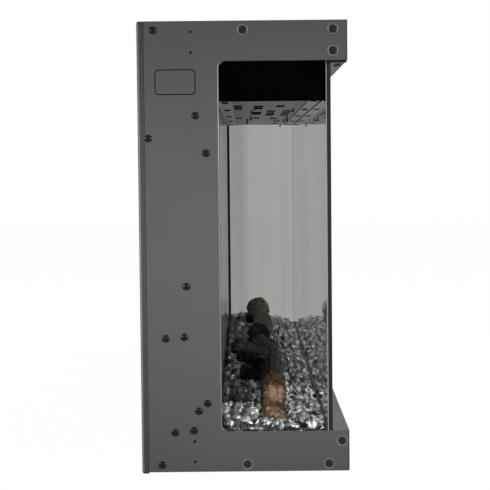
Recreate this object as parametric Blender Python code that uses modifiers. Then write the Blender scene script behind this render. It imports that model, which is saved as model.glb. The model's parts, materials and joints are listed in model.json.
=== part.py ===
"""A three-sided electric fireplace for building into a wall.

Metres, +Z up. +X runs along the length, the front faces -Y and the back faces +Y.
The origin is the middle of the underside.
"""

import math

import bmesh
import bpy
from mathutils import Matrix, Vector, noise

# Driving dimensions of the whole
LENGTH = 1.400
DEPTH = 0.301
HEIGHT = 0.652
SHEET = 0.0015
FIT = 0.0003
CUT_OVERRUN = 0.004

# Casing
PANEL_FOOT = 0.0025
FLANGE = 0.010
PAN_LIP = 0.018
WINDOW_BOTTOM = 0.0613
HEADER = 0.0575
REAR_COLUMN = 0.1148
WINDOW_CORNER = 0.0095
KNOCKOUT_WIDTH = 0.0585
KNOCKOUT_HEIGHT = 0.0363
KNOCKOUT_CORNER = 0.0065
KNOCKOUT_GROOVE = 0.0013
KNOCKOUT_TAB = 0.004
KNOCKOUT_FROM_BACK = 0.0545
KNOCKOUT_FROM_TOP = 0.0868
SEAT_RADIUS = 0.0066
PILOT_RADIUS = 0.0020
FOOT_RADIUS = 0.014
VENT_LENGTH = 0.012
VENT_HEIGHT = 0.070
VENT_PITCH = 0.024
VENTS_IN_GROUP = 9
VENT_GROUP_OFFSET = 0.36
VENT_FROM_TOP = 0.092
BEND_RADIUS = 0.003

# Glass
RECESS = 0.0243
FRONT_GLASS = 0.006
SIDE_GLASS = 0.005
PANE_LAP = 0.012
GLASS_LAP = 0.0115
LEDGE = 0.0457
LEDGE_WIDTH = 0.018
LEDGE_DROP = 0.025
RETAINER_LAP = 0.005
RETAINER_FLANGE = 0.010
RETAINER_END = 0.006

# Trim slots
OVAL_LENGTH = 0.0585
OVAL_WIDTH = 0.0105
OVAL_FROM_END = 0.0967
OVAL_FROM_FRONT = 0.0079
OUTLET_SLOTS = 22
OUTLET_PITCH = 0.018
OUTLET_SLOT = 0.011
ROCKER_LENGTH = 0.0195
ROCKER_WIDTH = 0.0125
ROCKER_FROM_END = 0.200
ROCKER_WALL = 0.0015
ROCKER_DEPTH = 0.012
ROCKER_PIVOT = 0.0055
ROCKER_SWING_GAP = 0.0007
BUTTON_RADIUS = 0.0038
BUTTON_PITCH = 0.016
BUTTON_HEIGHT = 0.0066
BUTTON_FLANGE = 0.0052
BUTTON_GAP = 0.0004
BUTTON_TRAVEL = 0.0012
BUTTON_SINK = 0.0004
BUTTON_PLATE_OVERLAP = 0.008

# Firebox
CEILING_DROP = 0.0490
CEILING_VENT_LENGTH = 0.070
FRONT_STRIP = 0.0169
REAR_STRIP = 0.0220
STRIP_SLOT_LENGTH = 0.066
STRIP_SLOT_WIDTH = 0.011
SCREEN = 0.003
SCREEN_INSET = 0.0028
RAIL_WEB = 0.028
RAIL_FOOT = 0.015
SCREEN_LIP = 0.012
TRAY_WALL = 0.002
TRAY_HEIGHT = 0.011
BED_EDGE = 0.0160
BED_CREST = 0.0365
BED_SLOPE_SHARE = 0.87
BED_LUMP = 0.0050
BED_GRAIN = 0.030
BED_CELLS_ALONG = 64
BED_CELLS_ACROSS = 8
BARK_RELIEF = 0.0016
BARK_GRAIN = 0.024
LOG_RINGS = 9
LOG_BEVEL = 3
LOG_GAP = 0.0006
LUMP_RELIEF = 0.004

# Flame effect
SPINDLE_FROM_BACK = 0.0555
SPINDLE_HEIGHT = 0.078
SPINDLE_ROD = 0.003
SPINDLE_FROM_END = 0.100
BLADE_RADIUS = 0.026
BLADE_LENGTH = 0.036
BLADE_SHEET = 0.0010
BLADES = 20
BLADE_TURN = math.radians(67)
BLADE_PITCH_ANGLE = math.radians(24)
MOTOR_RADIUS = 0.024
MOTOR_LENGTH = 0.018
MOTOR_SHAFT = 0.0035
BRACKET_WIDTH = 0.048
BRACKET_FOOT = 0.018
BUSH_RADIUS = 0.006
BUSH_LENGTH = 0.006
BUSH_BORE_GAP = 0.00008
COUPLER_RADIUS = 0.007
COUPLER_LENGTH = 0.014
BAFFLE_HEIGHT = 0.150
BAFFLE_FROM_END = 0.090
BAFFLE_FROM_SCREEN = 0.012
FLAMES = 10
FLAME_WIDTH = 0.052
FLAME_HEIGHT = 0.090
FLAME_FOOT_SHARE = 0.25
BOARD = 0.0016
BOARD_STAND = 0.007
BOARD_POST = 0.0025
LAMP = 0.005
LAMP_HEIGHT = 0.002
LAMPS = 12
LAMP_BOARD_FROM_END = 0.100
LAMP_BOARD_WIDTH = 0.013

# Heater
HEATER_HALF = 0.230
HEATER_INSET = 0.0201
HEATER_BACK_GAP = 0.0082
HEATER_FROM_TOP = 0.012
WHEEL_RADIUS = 0.025
WHEEL_BLADES = 12
WHEEL_DISC = 0.002
WHEEL_DISCS = 3
WHEEL_BLADE = 0.007
WHEEL_BLADE_SHEET = 0.001
WHEEL_SHAFT = 0.003
WHEEL_STUB = 0.012
FAN_MOTOR_RADIUS = 0.025
FAN_MOTOR_LENGTH = 0.045
ELEMENT_DEPTH = 0.012
ELEMENT_HEIGHT = 0.060
ELEMENT_BARS = 5
ELEMENT_FRAME = 0.008
WHEEL_PLACE_SHARE = 0.53
DEFLECTOR_DROP = 0.020

# Electrics
SUPPLY_SIZE = (0.110, 0.060, 0.030)
SUPPLY_GAP = 0.035
CONTROL_SIZE = (0.120, 0.070)
CONTROL_GAP = 0.035
CHIP_SIZE = (0.022, 0.016, 0.009)
JUNCTION_DEPTH = 0.043
JUNCTION_MARGIN = 0.006
TERMINAL_SIZE = (0.014, 0.030, 0.012)
GLAND_RADIUS = 0.008
GLAND_FLANGE = 0.012
GLAND_LENGTH = 0.020
GLAND_BORE = 0.0045
GLAND_FROM_END = 0.080
GLAND_HEIGHT = 0.045

# Places on the end panels: shares of the depth, from the front, and of the band above the
# window, from the top, or of the band below it, from the underside
TOP_SEAT_SHARES = ((0.497, 0.227), (0.069, 0.227), (0.069, 0.760))
BOTTOM_SEAT_SHARES = ((0.492, 0.213), (0.098, 0.213), (0.035, 0.755))
TOP_PILOT_SHARES = ((0.744, 0.272), (0.744, 0.783))
BOTTOM_PILOT_SHARES = ((0.744, 0.277), (0.744, 0.766))

# Ceiling vents: the place across as a share of the depth from the front, its width as a share
# of the depth, and the places along as shares of the length from the middle
CEILING_VENT_SHARES = (
    (0.526, 0.045, (-0.440, -0.238, -0.176, 0.164)),
    (0.410, 0.053, (-0.440, -0.232, -0.174, -0.050, 0.004, 0.158)),
    (0.326, 0.050, (-0.092, -0.020, 0.048)),
    (0.287, 0.046, (-0.240, 0.178)),
    (0.250, 0.045, (0.303, 0.442)),
    (0.229, 0.052, (-0.440, -0.094, -0.022, 0.050)),
)
FRONT_SLOT_SHARES = (-0.400, -0.168, 0.057, 0.277, 0.455)
REAR_SLOT_SHARES = (-0.364, -0.158, 0.065, 0.257, 0.440)
FOOT_PLACE_SHARES = (-0.440, 0.0, 0.440)

# Logs: start and end (along as a share of the length from the middle, across as a share of the
# firebox's depth from its front, and above the bed's crest as a share of that depth), the two
# radii and the sideways bend as shares of the same depth, and a seed
LOG_SHARES = {
    "log_prop_left": ((-0.275, 0.359, 0.075), (-0.264, 0.788, 0.071), (0.102, 0.112), 0.008, 12),
    "log_bark_left": ((-0.466, 0.492, -0.058), (-0.236, 0.492, 0.317), (0.129, 0.116), 0.019, 3),
    "log_cross_left": ((-0.318, 0.861, 0.446), (-0.3, 0.461, 0.264), (0.076, 0.058), -0.012, 8),
    "log_middle": ((-0.15, 0.499, 0.058), (0.032, 0.563, 0.058), (0.116, 0.108), 0.027, 52),
    "log_round_right": ((0.057, 0.582, 0.15), (0.286, 0.499, 0.092), (0.143, 0.125), 0.023, 17),
    "log_cross_right": ((0.327, 0.42, 0.054), (0.352, 0.69, 0.05), (0.079, 0.089), 0.008, 41),
    "log_knot": ((0.336, 0.556, 0.236), (0.475, 0.547, 0.096), (0.158, 0.135), 0.019, 29),
}
# Which earlier logs each log is hollowed by, where it lies on them
LOG_SEATS = {
    "log_bark_left": ("log_prop_left",),
    "log_cross_left": ("log_bark_left",),
    "log_knot": ("log_cross_right",),
}
LUMP_PLACE_SHARES = (-0.415, 0.800, 0.050)
LUMP_RADIUS_SHARE = 0.1216

# Planes and centres that several pieces share
FRONT = -DEPTH / 2
BACK = DEPTH / 2
WINDOW_TOP = HEIGHT - HEADER
GLASS_TOP = WINDOW_TOP + GLASS_LAP
CEILING = WINDOW_TOP - CEILING_DROP
HEATER_TOP = HEIGHT - HEATER_FROM_TOP
KNOCKOUT_CENTRE = HEIGHT - KNOCKOUT_FROM_TOP
VENT_CENTRE = HEIGHT - VENT_FROM_TOP
PANEL_OUT = LENGTH / 2
OVAL_CENTRE = PANEL_OUT - OVAL_FROM_END
ROCKER_CENTRE = PANEL_OUT - ROCKER_FROM_END
GLAND_CENTRE = PANEL_OUT - GLAND_FROM_END
SPINDLE_HALF = PANEL_OUT - SPINDLE_FROM_END
BAFFLE_HALF = PANEL_OUT - BAFFLE_FROM_END
LAMP_BOARD_HALF = PANEL_OUT - LAMP_BOARD_FROM_END
SUPPLY_CENTRE = HEATER_HALF + SUPPLY_GAP + SUPPLY_SIZE[0] / 2
CONTROL_CENTRE = SUPPLY_CENTRE + SUPPLY_SIZE[0] / 2 + CONTROL_GAP + CONTROL_SIZE[0] / 2
PANEL_IN = PANEL_OUT - SHEET
INNER_END = PANEL_IN - FIT
PANE_IN = INNER_END - SIDE_GLASS
ROOM_END = PANE_IN - FIT
GLASS_FRONT = FRONT + RECESS
GLASS_BACK = GLASS_FRONT + FRONT_GLASS
RAIL_FRONT = GLASS_FRONT - FIT - SHEET
RAIL_BACK = GLASS_BACK + FIT + SHEET
LEG_BACK = RAIL_FRONT - FIT
WINDOW_REAR = BACK - REAR_COLUMN
SCREEN_FRONT = WINDOW_REAR + SCREEN_INSET
SCREEN_BACK = SCREEN_FRONT + SCREEN
ROOM_FRONT = RAIL_BACK + FIT
ROOM_BACK = SCREEN_FRONT - FIT
ROOM_DEPTH = ROOM_BACK - ROOM_FRONT
HEATER_FACE = ROOM_FRONT + HEATER_INSET
HEATER_REAR = ROOM_BACK - HEATER_BACK_GAP
ELEMENT_FACE = HEATER_FACE + ELEMENT_FRAME
ELEMENT_REAR = ELEMENT_FACE + ELEMENT_DEPTH
PANE_REAR = WINDOW_REAR + PANE_LAP
JOINT = BACK - FLANGE
PANEL_TOP = HEIGHT - SHEET
FLOOR = PANEL_FOOT + SHEET
STAND = FLOOR + FIT
BED_FLOOR = LEDGE + FIT + TRAY_WALL + FIT
CEILING_TOP = CEILING + SHEET + FIT
TRIM_END = INNER_END
RAIL_END = INNER_END - LEDGE_WIDTH - FIT
SPINDLE_Y = BACK - SPINDLE_FROM_BACK
HOOD_TOP = WINDOW_TOP + SHEET

ROUND_SIDES = 16
SMALL_SIDES = 8

COLLECTION_NAME = "three_sided_electric_fireplace"
CUTTER_NAME = "cutters"


def new_collection(name):
    """A new collection in the scene."""
    made = bpy.data.collections.new(name)
    bpy.context.scene.collection.children.link(made)
    return made


def clear_scene():
    for obj in list(bpy.data.objects):
        bpy.data.objects.remove(obj)


def finish(name, colour, roughness, metallic, alpha=1.0):
    """The material of one sub-part."""
    made = bpy.data.materials.new(name)
    made.use_nodes = True
    shader = made.node_tree.nodes["Principled BSDF"]
    shader.inputs["Base Color"].default_value = (*colour, 1.0)
    shader.inputs["Roughness"].default_value = roughness
    shader.inputs["Metallic"].default_value = metallic
    shader.inputs["Alpha"].default_value = alpha
    return made


PAINT = ((0.115, 0.117, 0.120), 0.45, 0.3)
BLACK_PAINT = ((0.012, 0.012, 0.013), 0.5, 0.0)
ZINC = ((0.42, 0.43, 0.44), 0.35, 0.9)
GREY_PLATE = ((0.30, 0.31, 0.31), 0.45, 0.2)
CLEAR_PANE = ((0.80, 0.84, 0.83), 0.03, 0.0, 0.25)
MILKY_SCREEN = ((0.62, 0.63, 0.64), 0.25, 0.0, 0.7)
MILKY_TRAY = ((0.62, 0.63, 0.64), 0.25, 0.0, 0.8)
BLACK_PLASTIC = ((0.02, 0.02, 0.022), 0.4, 0.0)
BOARD_GREEN = ((0.03, 0.14, 0.07), 0.5, 0.0)
BARK = ((0.16, 0.085, 0.045), 0.85, 0.0)
CHARRED = ((0.018, 0.015, 0.013), 0.8, 0.0)
ICE = ((0.60, 0.64, 0.65), 0.12, 0.0, 0.9)
MICA = ((0.55, 0.50, 0.40), 0.7, 0.0)
MIRROR_SHEET = ((0.85, 0.85, 0.86), 0.1, 1.0)


def object_from(name, mesh, look, kind="part"):
    """Puts a mesh in the scene as a part or, for kind cutter, as a hidden cutter."""
    made = bpy.data.objects.new(name, mesh)
    if kind == "cutter":
        bpy.data.collections[CUTTER_NAME].objects.link(made)
        made.hide_render = True
        made.display_type = "WIRE"
        return made
    bpy.data.collections[COLLECTION_NAME].objects.link(made)
    if look:
        mesh.materials.append(finish(name, *look))
    return made


def mesh_from(shape, name):
    mesh = bpy.data.meshes.new(name)
    shape.to_mesh(mesh)
    shape.free()
    return mesh


def box_mesh(name, low, high):
    """A box between two corners, moved by a matrix so that its mesh holds its place."""
    low, high = Vector(low), Vector(high)
    shape = bmesh.new()
    size = high - low
    place = Matrix.Translation((low + high) / 2) @ Matrix.Diagonal((*size, 1.0))
    bmesh.ops.create_cube(shape, size=1.0, matrix=place)
    return mesh_from(shape, name)


def box(name, low, high, look=None, kind="part"):
    return object_from(name, box_mesh(name, low, high), look, kind)


def rod_mesh(name, start, end, radius, sides=ROUND_SIDES, end_radius=None):
    """A cylinder or cone from start to end."""
    start, end = Vector(start), Vector(end)
    along = end - start
    turn = along.to_track_quat("Z", "Y").to_matrix().to_4x4()
    shape = bmesh.new()
    bmesh.ops.create_cone(
        shape,
        cap_ends=True,
        segments=sides,
        radius1=radius,
        radius2=radius if end_radius is None else end_radius,
        depth=along.length,
        matrix=Matrix.Translation((start + end) / 2) @ turn,
    )
    return mesh_from(shape, name)


def rod(name, start, end, radius, look=None, kind="part", sides=ROUND_SIDES, end_radius=None):
    made = object_from(name, rod_mesh(name, start, end, radius, sides, end_radius), look, kind)
    made.data.set_sharp_from_angle(angle=math.radians(40))
    return made


def joined(name, meshes):
    """One cutter object that holds several separate solids."""
    shape = bmesh.new()
    for mesh in meshes:
        shape.from_mesh(mesh)
        bpy.data.meshes.remove(mesh)
    return object_from(name, mesh_from(shape, name), None, "cutter")


def boolean(target, other, operation):
    change = target.modifiers.new(other.name, "BOOLEAN")
    change.operation = operation
    change.object = other
    change.solver = "EXACT"


def cut(target, meshes):
    boolean(target, joined(target.name + "_cutter", meshes), "DIFFERENCE")


def fuse(target, meshes):
    boolean(target, joined(target.name + "_additions", meshes), "UNION")


def tray(name, low, high, wall, open_face, look, bend=0.0):
    """A box-shaped shell with one face left out, its walls inside the given corners.

    open_face is the axis number and the sign of the face that is left out.
    """
    axis, sign = open_face
    mesh = box_mesh(name, low, high)
    shape = bmesh.new()
    shape.from_mesh(mesh)
    bpy.data.meshes.remove(mesh)
    gone = [face for face in shape.faces if face.normal[axis] * sign > 0.5]
    bmesh.ops.delete(shape, geom=gone, context="FACES")
    if bend:
        corners = [edge for edge in shape.edges if len(edge.link_faces) == 2]
        bmesh.ops.bevel(
            shape, geom=corners, offset=bend, segments=2, profile=0.5, affect="EDGES"
        )
    made = object_from(name, mesh_from(shape, name), look)
    solid = made.modifiers.new("wall", "SOLIDIFY")
    solid.thickness = wall
    solid.offset = -1.0
    solid.use_even_offset = True
    return made


def folded(name, line, span, wall, look, axis="X"):
    """A folded sheet: a line of corners, carried along an axis, with its wall to the left of the line.

    For axis X the corners are (Y, Z), for axis Y they are (X, Z), and for axis Z they are (X, Y).
    """
    shape = bmesh.new()
    low, high = span
    spread = {
        "X": lambda a, b: (Vector((low, a, b)), Vector((high, a, b))),
        "Y": lambda a, b: (Vector((a, high, b)), Vector((a, low, b))),
        "Z": lambda a, b: (Vector((a, b, low)), Vector((a, b, high))),
    }[axis]
    corners = [spread(*corner) for corner in line]
    edges = [(shape.verts.new(a), shape.verts.new(b)) for a, b in corners]
    for (a, b), (c, d) in zip(edges, edges[1:]):
        shape.faces.new((a, b, d, c))
    made = object_from(name, mesh_from(shape, name), look)
    solid = made.modifiers.new("wall", "SOLIDIFY")
    solid.thickness = wall
    solid.offset = 1.0
    solid.use_even_offset = True
    return made


def rounded_rectangle(width, height, corner, steps=4):
    """The corners of a rounded rectangle about the origin."""
    points = []
    for quarter, (across, up) in enumerate(((1, 1), (-1, 1), (-1, -1), (1, -1))):
        centre = Vector((across * (width / 2 - corner), up * (height / 2 - corner)))
        for step in range(steps + 1):
            angle = math.pi / 2 * (quarter + step / steps)
            points.append(centre + corner * Vector((math.cos(angle), math.sin(angle))))
    return points


def slab_mesh(name, outline, low, high, place):
    """A flat outline filled and given a thickness from low to high, then put in place by a matrix."""
    flat = bpy.data.curves.new(name, "CURVE")
    flat.dimensions = "2D"
    flat.fill_mode = "BOTH"
    flat.extrude = (high - low) / 2
    spline = flat.splines.new("POLY")
    spline.points.add(len(outline) - 1)
    for point, corner in zip(spline.points, outline):
        point.co = (corner[0], corner[1], 0.0, 1.0)
    spline.use_cyclic_u = True
    guide = bpy.data.objects.new(name, flat)
    bpy.context.scene.collection.objects.link(guide)
    graph = bpy.context.evaluated_depsgraph_get()
    mesh = bpy.data.meshes.new_from_object(guide.evaluated_get(graph))
    bpy.data.objects.remove(guide)
    shape = bmesh.new()
    shape.from_mesh(mesh)
    bpy.data.meshes.remove(mesh)
    bmesh.ops.remove_doubles(shape, verts=shape.verts, dist=FIT / 100)
    shape.transform(place @ Matrix.Translation((0.0, 0.0, (low + high) / 2)))
    bmesh.ops.recalc_face_normals(shape, faces=shape.faces)
    return mesh_from(shape, name)


# The flat of a slab that faces an end of the fireplace: its first axis is Y, its second Z
END_PLANE = Matrix(((0, 0, 1, 0), (1, 0, 0, 0), (0, 1, 0, 0), (0, 0, 0, 1)))
# The flat of a slab that faces the front: its first axis is X, its second Z, and its third -Y
FRONT_PLANE = Matrix(((1, 0, 0, 0), (0, 0, -1, 0), (0, 1, 0, 0), (0, 0, 0, 1)))


def window_outline():
    """The C-shaped end panel: its window is open to the front, with two rounded inner corners."""
    front = FRONT + SHEET + FIT
    rear = JOINT - FIT
    points = [
        Vector((front, PANEL_FOOT)),
        Vector((rear, PANEL_FOOT)),
        Vector((rear, PANEL_TOP)),
        Vector((front, PANEL_TOP)),
        Vector((front, WINDOW_TOP)),
    ]
    steps = 5
    for centre_z, start in ((WINDOW_TOP - WINDOW_CORNER, 0), (WINDOW_BOTTOM + WINDOW_CORNER, 1)):
        centre = Vector((WINDOW_REAR - WINDOW_CORNER, centre_z))
        for step in range(steps + 1):
            angle = math.pi / 2 * (1 - start - step / steps)
            points.append(centre + WINDOW_CORNER * Vector((math.cos(angle), math.sin(angle))))
    points.append(Vector((front, WINDOW_BOTTOM)))
    return points


def end_places(top_shares, bottom_shares):
    """Places on an end panel, from their shares of the depth and of the bands over and under the window."""
    for across, down in top_shares:
        yield FRONT + across * DEPTH, HEIGHT - down * HEADER
    for across, up in bottom_shares:
        yield FRONT + across * DEPTH, up * WINDOW_BOTTOM


def end_panel(name, side):
    """One short side of the casing, with its window, knock-out, screw seats and pilot holes."""
    low, high = sorted((side * PANEL_IN, side * PANEL_OUT))
    panel = object_from(name, slab_mesh(name, window_outline(), low, high, END_PLANE), PAINT)
    cut_low, cut_high = low - CUT_OVERRUN, high + CUT_OVERRUN
    cutters = []
    for y, z in end_places(TOP_SEAT_SHARES, BOTTOM_SEAT_SHARES):
        cutters.append(rod_mesh(name, (cut_low, y, z), (cut_high, y, z), SEAT_RADIUS))
    for y, z in end_places(TOP_PILOT_SHARES, BOTTOM_PILOT_SHARES):
        start, end = (cut_low, y, z), (cut_high, y, z)
        cutters.append(rod_mesh(name, start, end, PILOT_RADIUS, SMALL_SIDES))
    cutters.extend(knockout_groove(name, cut_low, cut_high))
    cut(panel, cutters)


def knockout_groove(name, low, high):
    """The cut round the knock-out, in two halves that leave a tab between them above and below."""
    y, z = BACK - KNOCKOUT_FROM_BACK, KNOCKOUT_CENTRE
    outer = rounded_rectangle(KNOCKOUT_WIDTH, KNOCKOUT_HEIGHT, KNOCKOUT_CORNER)
    inner = rounded_rectangle(
        KNOCKOUT_WIDTH - 2 * KNOCKOUT_GROOVE,
        KNOCKOUT_HEIGHT - 2 * KNOCKOUT_GROOVE,
        KNOCKOUT_CORNER - KNOCKOUT_GROOVE,
    )
    place = END_PLANE @ Matrix.Translation((y, z, 0.0))
    halves = []
    for side in (1, -1):
        tab = KNOCKOUT_TAB / 2
        ring = [p for p in outer if p.x * side > 0]
        back = [p for p in inner if p.x * side > 0]
        ring.sort(key=lambda p: math.atan2(p.y, p.x * side))
        back.sort(key=lambda p: math.atan2(p.y, p.x * side))
        top, bottom = KNOCKOUT_HEIGHT / 2, KNOCKOUT_HEIGHT / 2 - KNOCKOUT_GROOVE
        outline = [Vector((side * tab, -top)), *ring, Vector((side * tab, top))]
        outline += [Vector((side * tab, bottom)), *reversed(back), Vector((side * tab, -bottom))]
        if side < 0:
            outline.reverse()
        halves.append(slab_mesh(name, outline, low, high, place))
    return halves


def make_base_pan():
    """The floor of the casing: a tray with pressed feet."""
    low = (-INNER_END, FRONT + SHEET + FIT, PANEL_FOOT)
    high = (INNER_END, JOINT - FIT, PANEL_FOOT + PAN_LIP)
    pan = tray("base_pan", low, high, SHEET, (2, 1), PAINT)
    feet = []
    for share in FOOT_PLACE_SHARES:
        for y in (FRONT / 2, BACK / 2):
            x = share * LENGTH
            top = PANEL_FOOT + SHEET / 2
            feet.append(rod_mesh("foot", (x, y, 0.0), (x, y, top), FOOT_RADIUS, SMALL_SIDES))
    fuse(pan, feet)


def make_top_pan():
    """The roof of the casing, its lip turned down inside the end panels."""
    low = (-INNER_END, FRONT + SHEET + FIT, HEIGHT - PAN_LIP)
    high = (INNER_END, JOINT - FIT, HEIGHT)
    tray("top_pan", low, high, SHEET, (2, -1), PAINT)


def make_back_cover():
    """The back, a shallow tray with rounded bends, two groups of air slots and the cord's hole."""
    low = (-PANEL_OUT, JOINT, 0.0)
    high = (PANEL_OUT, BACK, HEIGHT)
    cover = tray("back_cover", low, high, SHEET, (1, -1), PAINT, bend=BEND_RADIUS)
    rear, front = BACK + CUT_OVERRUN, BACK - SHEET - CUT_OVERRUN
    cutters = []
    for side in (-1, 1):
        for index in range(VENTS_IN_GROUP):
            step = (index - (VENTS_IN_GROUP - 1) / 2) * VENT_PITCH
            x = side * VENT_GROUP_OFFSET + step
            corner = (x - VENT_LENGTH / 2, front, VENT_CENTRE - VENT_HEIGHT / 2)
            other = (x + VENT_LENGTH / 2, rear, VENT_CENTRE + VENT_HEIGHT / 2)
            cutters.append(box_mesh("vent", corner, other))
    centre = (GLAND_CENTRE, GLAND_HEIGHT)
    cutters.append(
        rod_mesh(
            "cord_hole",
            (centre[0], front, centre[1]),
            (centre[0], rear, centre[1]),
            GLAND_RADIUS + FIT,
        )
    )
    cut(cover, cutters)


def oval_mesh(name, centre, length, width, low, high):
    """A slot with round ends, along X, cut upwards from low to high."""
    outline = rounded_rectangle(length, width, width / 2, steps=4)
    place = Matrix.Translation((centre[0], centre[1], 0.0))
    return slab_mesh(name, outline, low, high, place)


def make_front_top_trim():
    """The hood over the glass: a folded channel with two oval slots, a switch opening and the outlet."""
    line = (
        (FRONT, HEIGHT),
        (FRONT, WINDOW_TOP),
        (LEG_BACK, WINDOW_TOP),
        (LEG_BACK, GLASS_TOP),
    )
    trim = folded("front_top_trim", line, (-TRIM_END, TRIM_END), SHEET, PAINT)
    low, high = WINDOW_TOP - CUT_OVERRUN, HOOD_TOP + CUT_OVERRUN
    across = FRONT + OVAL_FROM_FRONT
    cutters = [
        oval_mesh("oval", (side * OVAL_CENTRE, across), OVAL_LENGTH, OVAL_WIDTH, low, high)
        for side in (-1, 1)
    ]
    middle = (FRONT + SHEET + LEG_BACK - SHEET) / 2
    for index in range(OUTLET_SLOTS):
        x = (index - (OUTLET_SLOTS - 1) / 2) * OUTLET_PITCH
        half = OUTLET_SLOT / 2
        cutters.append(
            box_mesh("outlet", (x - half, middle - half, low), (x + half, middle + half, high))
        )
    half_length, half_width = ROCKER_LENGTH / 2 + FIT, ROCKER_WIDTH / 2 + FIT
    cutters.append(
        box_mesh(
            "switch_opening",
            (ROCKER_CENTRE - half_length, middle - half_width, low),
            (ROCKER_CENTRE + half_length, middle + half_width, high),
        )
    )
    cut(trim, cutters)


def make_front_bottom_trim():
    """The sill under the glass: face, top and a leg behind the glass rail's lip."""
    line = (
        (LEG_BACK, LEDGE + FIT),
        (LEG_BACK, WINDOW_BOTTOM),
        (FRONT, WINDOW_BOTTOM),
        (FRONT, PANEL_FOOT),
    )
    folded("front_bottom_trim", line, (-TRIM_END, TRIM_END), SHEET, PAINT)


def make_glass():
    """The front pane and the two end panes that butt against its back."""
    low = (-INNER_END, GLASS_FRONT, LEDGE + 2 * FIT + SHEET)
    box("front_glass", low, (INNER_END, GLASS_BACK, GLASS_TOP), CLEAR_PANE)
    for name, side in (("left", -1), ("right", 1)):
        near, far = sorted((side * PANE_IN, side * INNER_END))
        low = (near, GLASS_BACK + FIT, LEDGE + FIT)
        box("side_glass_" + name, low, (far, PANE_REAR, GLASS_TOP), CLEAR_PANE)


def make_glass_rails():
    """The channels that the front pane's lower and upper edges sit in."""
    front, rear = RAIL_FRONT, RAIL_BACK
    low, high = LEDGE + FIT, WINDOW_BOTTOM - FIT
    line = ((front, high), (front, low), (rear, low), (rear, high))
    folded("glass_rail_bottom", line, (-ROOM_END, ROOM_END), SHEET, BLACK_PAINT)
    low, high = WINDOW_TOP, GLASS_TOP + FIT + SHEET
    line = ((rear, low), (rear, high), (front, high), (front, low))
    folded("glass_rail_top", line, (-ROOM_END, ROOM_END), SHEET, BLACK_PAINT)


def make_pane_holders():
    """For each end pane, the ledge that it stands on and the retainer behind its rear edge."""
    rear = PANE_REAR + FIT
    for name, side in (("left", -1), ("right", 1)):
        wall, room = side * INNER_END, side * ROOM_END
        ledge = [
            (wall - side * LEDGE_WIDTH, LEDGE),
            (wall, LEDGE),
            (wall, LEDGE - LEDGE_DROP),
        ]
        retainer = [
            (wall, rear + SHEET + RETAINER_FLANGE),
            (wall, rear),
            (room, rear),
            (room, rear - RETAINER_LAP),
        ]
        if side > 0:
            ledge.reverse()
            retainer.reverse()
        folded("pane_ledge_" + name, ledge, (RAIL_FRONT, PANE_REAR), SHEET, ZINC, axis="Y")
        span = (LEDGE + FIT + RETAINER_END, GLASS_TOP - RETAINER_END)
        folded("pane_retainer_" + name, retainer, span, SHEET, ZINC, axis="Z")


def make_floor_rails():
    """The two long rails that carry the glass rail, the ember tray and the flame screen."""
    web = RAIL_FRONT + RAIL_WEB
    foot = STAND + SHEET
    line = ((web + RAIL_FOOT, foot), (web, foot), (web, LEDGE), (RAIL_FRONT, LEDGE))
    folded("floor_rail_front", line, (-RAIL_END, RAIL_END), SHEET, ZINC)
    lip = SCREEN_BACK + FIT + SHEET
    web = lip - RAIL_WEB
    line = (
        (web - RAIL_FOOT, STAND),
        (web, STAND),
        (web, LEDGE - SHEET),
        (lip, LEDGE - SHEET),
        (lip, LEDGE + SCREEN_LIP),
    )
    folded("floor_rail_rear", line, (-RAIL_END, RAIL_END), SHEET, ZINC)


def make_ember_tray():
    low = (-ROOM_END, ROOM_FRONT, LEDGE + FIT)
    high = (ROOM_END, ROOM_BACK, LEDGE + FIT + TRAY_HEIGHT)
    tray("ember_tray", low, high, TRAY_WALL, (2, 1), MILKY_TRAY)


def make_ceiling():
    """The ceiling tray with its air slots, and the two slotted strips under its edges."""
    low = (-ROOM_END, ROOM_FRONT, CEILING)
    ceiling = tray("ceiling_panel", low, (ROOM_END, ROOM_BACK, GLASS_TOP), SHEET, (2, 1), GREY_PLATE)
    bottom, top = CEILING - CUT_OVERRUN, CEILING + SHEET + CUT_OVERRUN
    cutters = []
    for place, width, along in CEILING_VENT_SHARES:
        y, half = FRONT + place * DEPTH, width * DEPTH / 2
        for share in along:
            x, reach = share * LENGTH, CEILING_VENT_LENGTH / 2
            cutters.append(box_mesh("slot", (x - reach, y - half, bottom), (x + reach, y + half, top)))
    cut(ceiling, cutters)
    low, high = CEILING - FIT - SHEET, CEILING - FIT
    strips = (
        ("ceiling_strip_front", ROOM_FRONT, ROOM_FRONT + FRONT_STRIP, FRONT_SLOT_SHARES),
        ("ceiling_strip_rear", ROOM_BACK - REAR_STRIP, ROOM_BACK, REAR_SLOT_SHARES),
    )
    for name, front, rear, along in strips:
        strip = box(name, (-ROOM_END, front, low), (ROOM_END, rear, high), GREY_PLATE)
        middle = (front + rear) / 2
        bottom, top = low - CUT_OVERRUN, high + CUT_OVERRUN
        cut(
            strip,
            [
                oval_mesh(
                    "oval",
                    (share * LENGTH, middle),
                    STRIP_SLOT_LENGTH,
                    STRIP_SLOT_WIDTH,
                    bottom,
                    top,
                )
                for share in along
            ],
        )


def make_flame_screen():
    low = (-ROOM_END, SCREEN_FRONT, LEDGE + FIT)
    box("flame_screen", low, (ROOM_END, SCREEN_BACK, GLASS_TOP), MILKY_SCREEN)


def bed_height(x, y):
    """The heaped bed's top: low along the front glass, highest at the back, with lumps."""
    across = (y - ROOM_FRONT) / (ROOM_BACK - ROOM_FRONT)
    slope = math.sin(math.pi / 2 * min(1.0, across / BED_SLOPE_SHARE))
    heap = BED_EDGE + (BED_CREST - BED_EDGE) * slope
    lump = noise.noise(Vector((x, y, 0.0)) / BED_GRAIN)
    return BED_FLOOR + heap + BED_LUMP * lump


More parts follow.
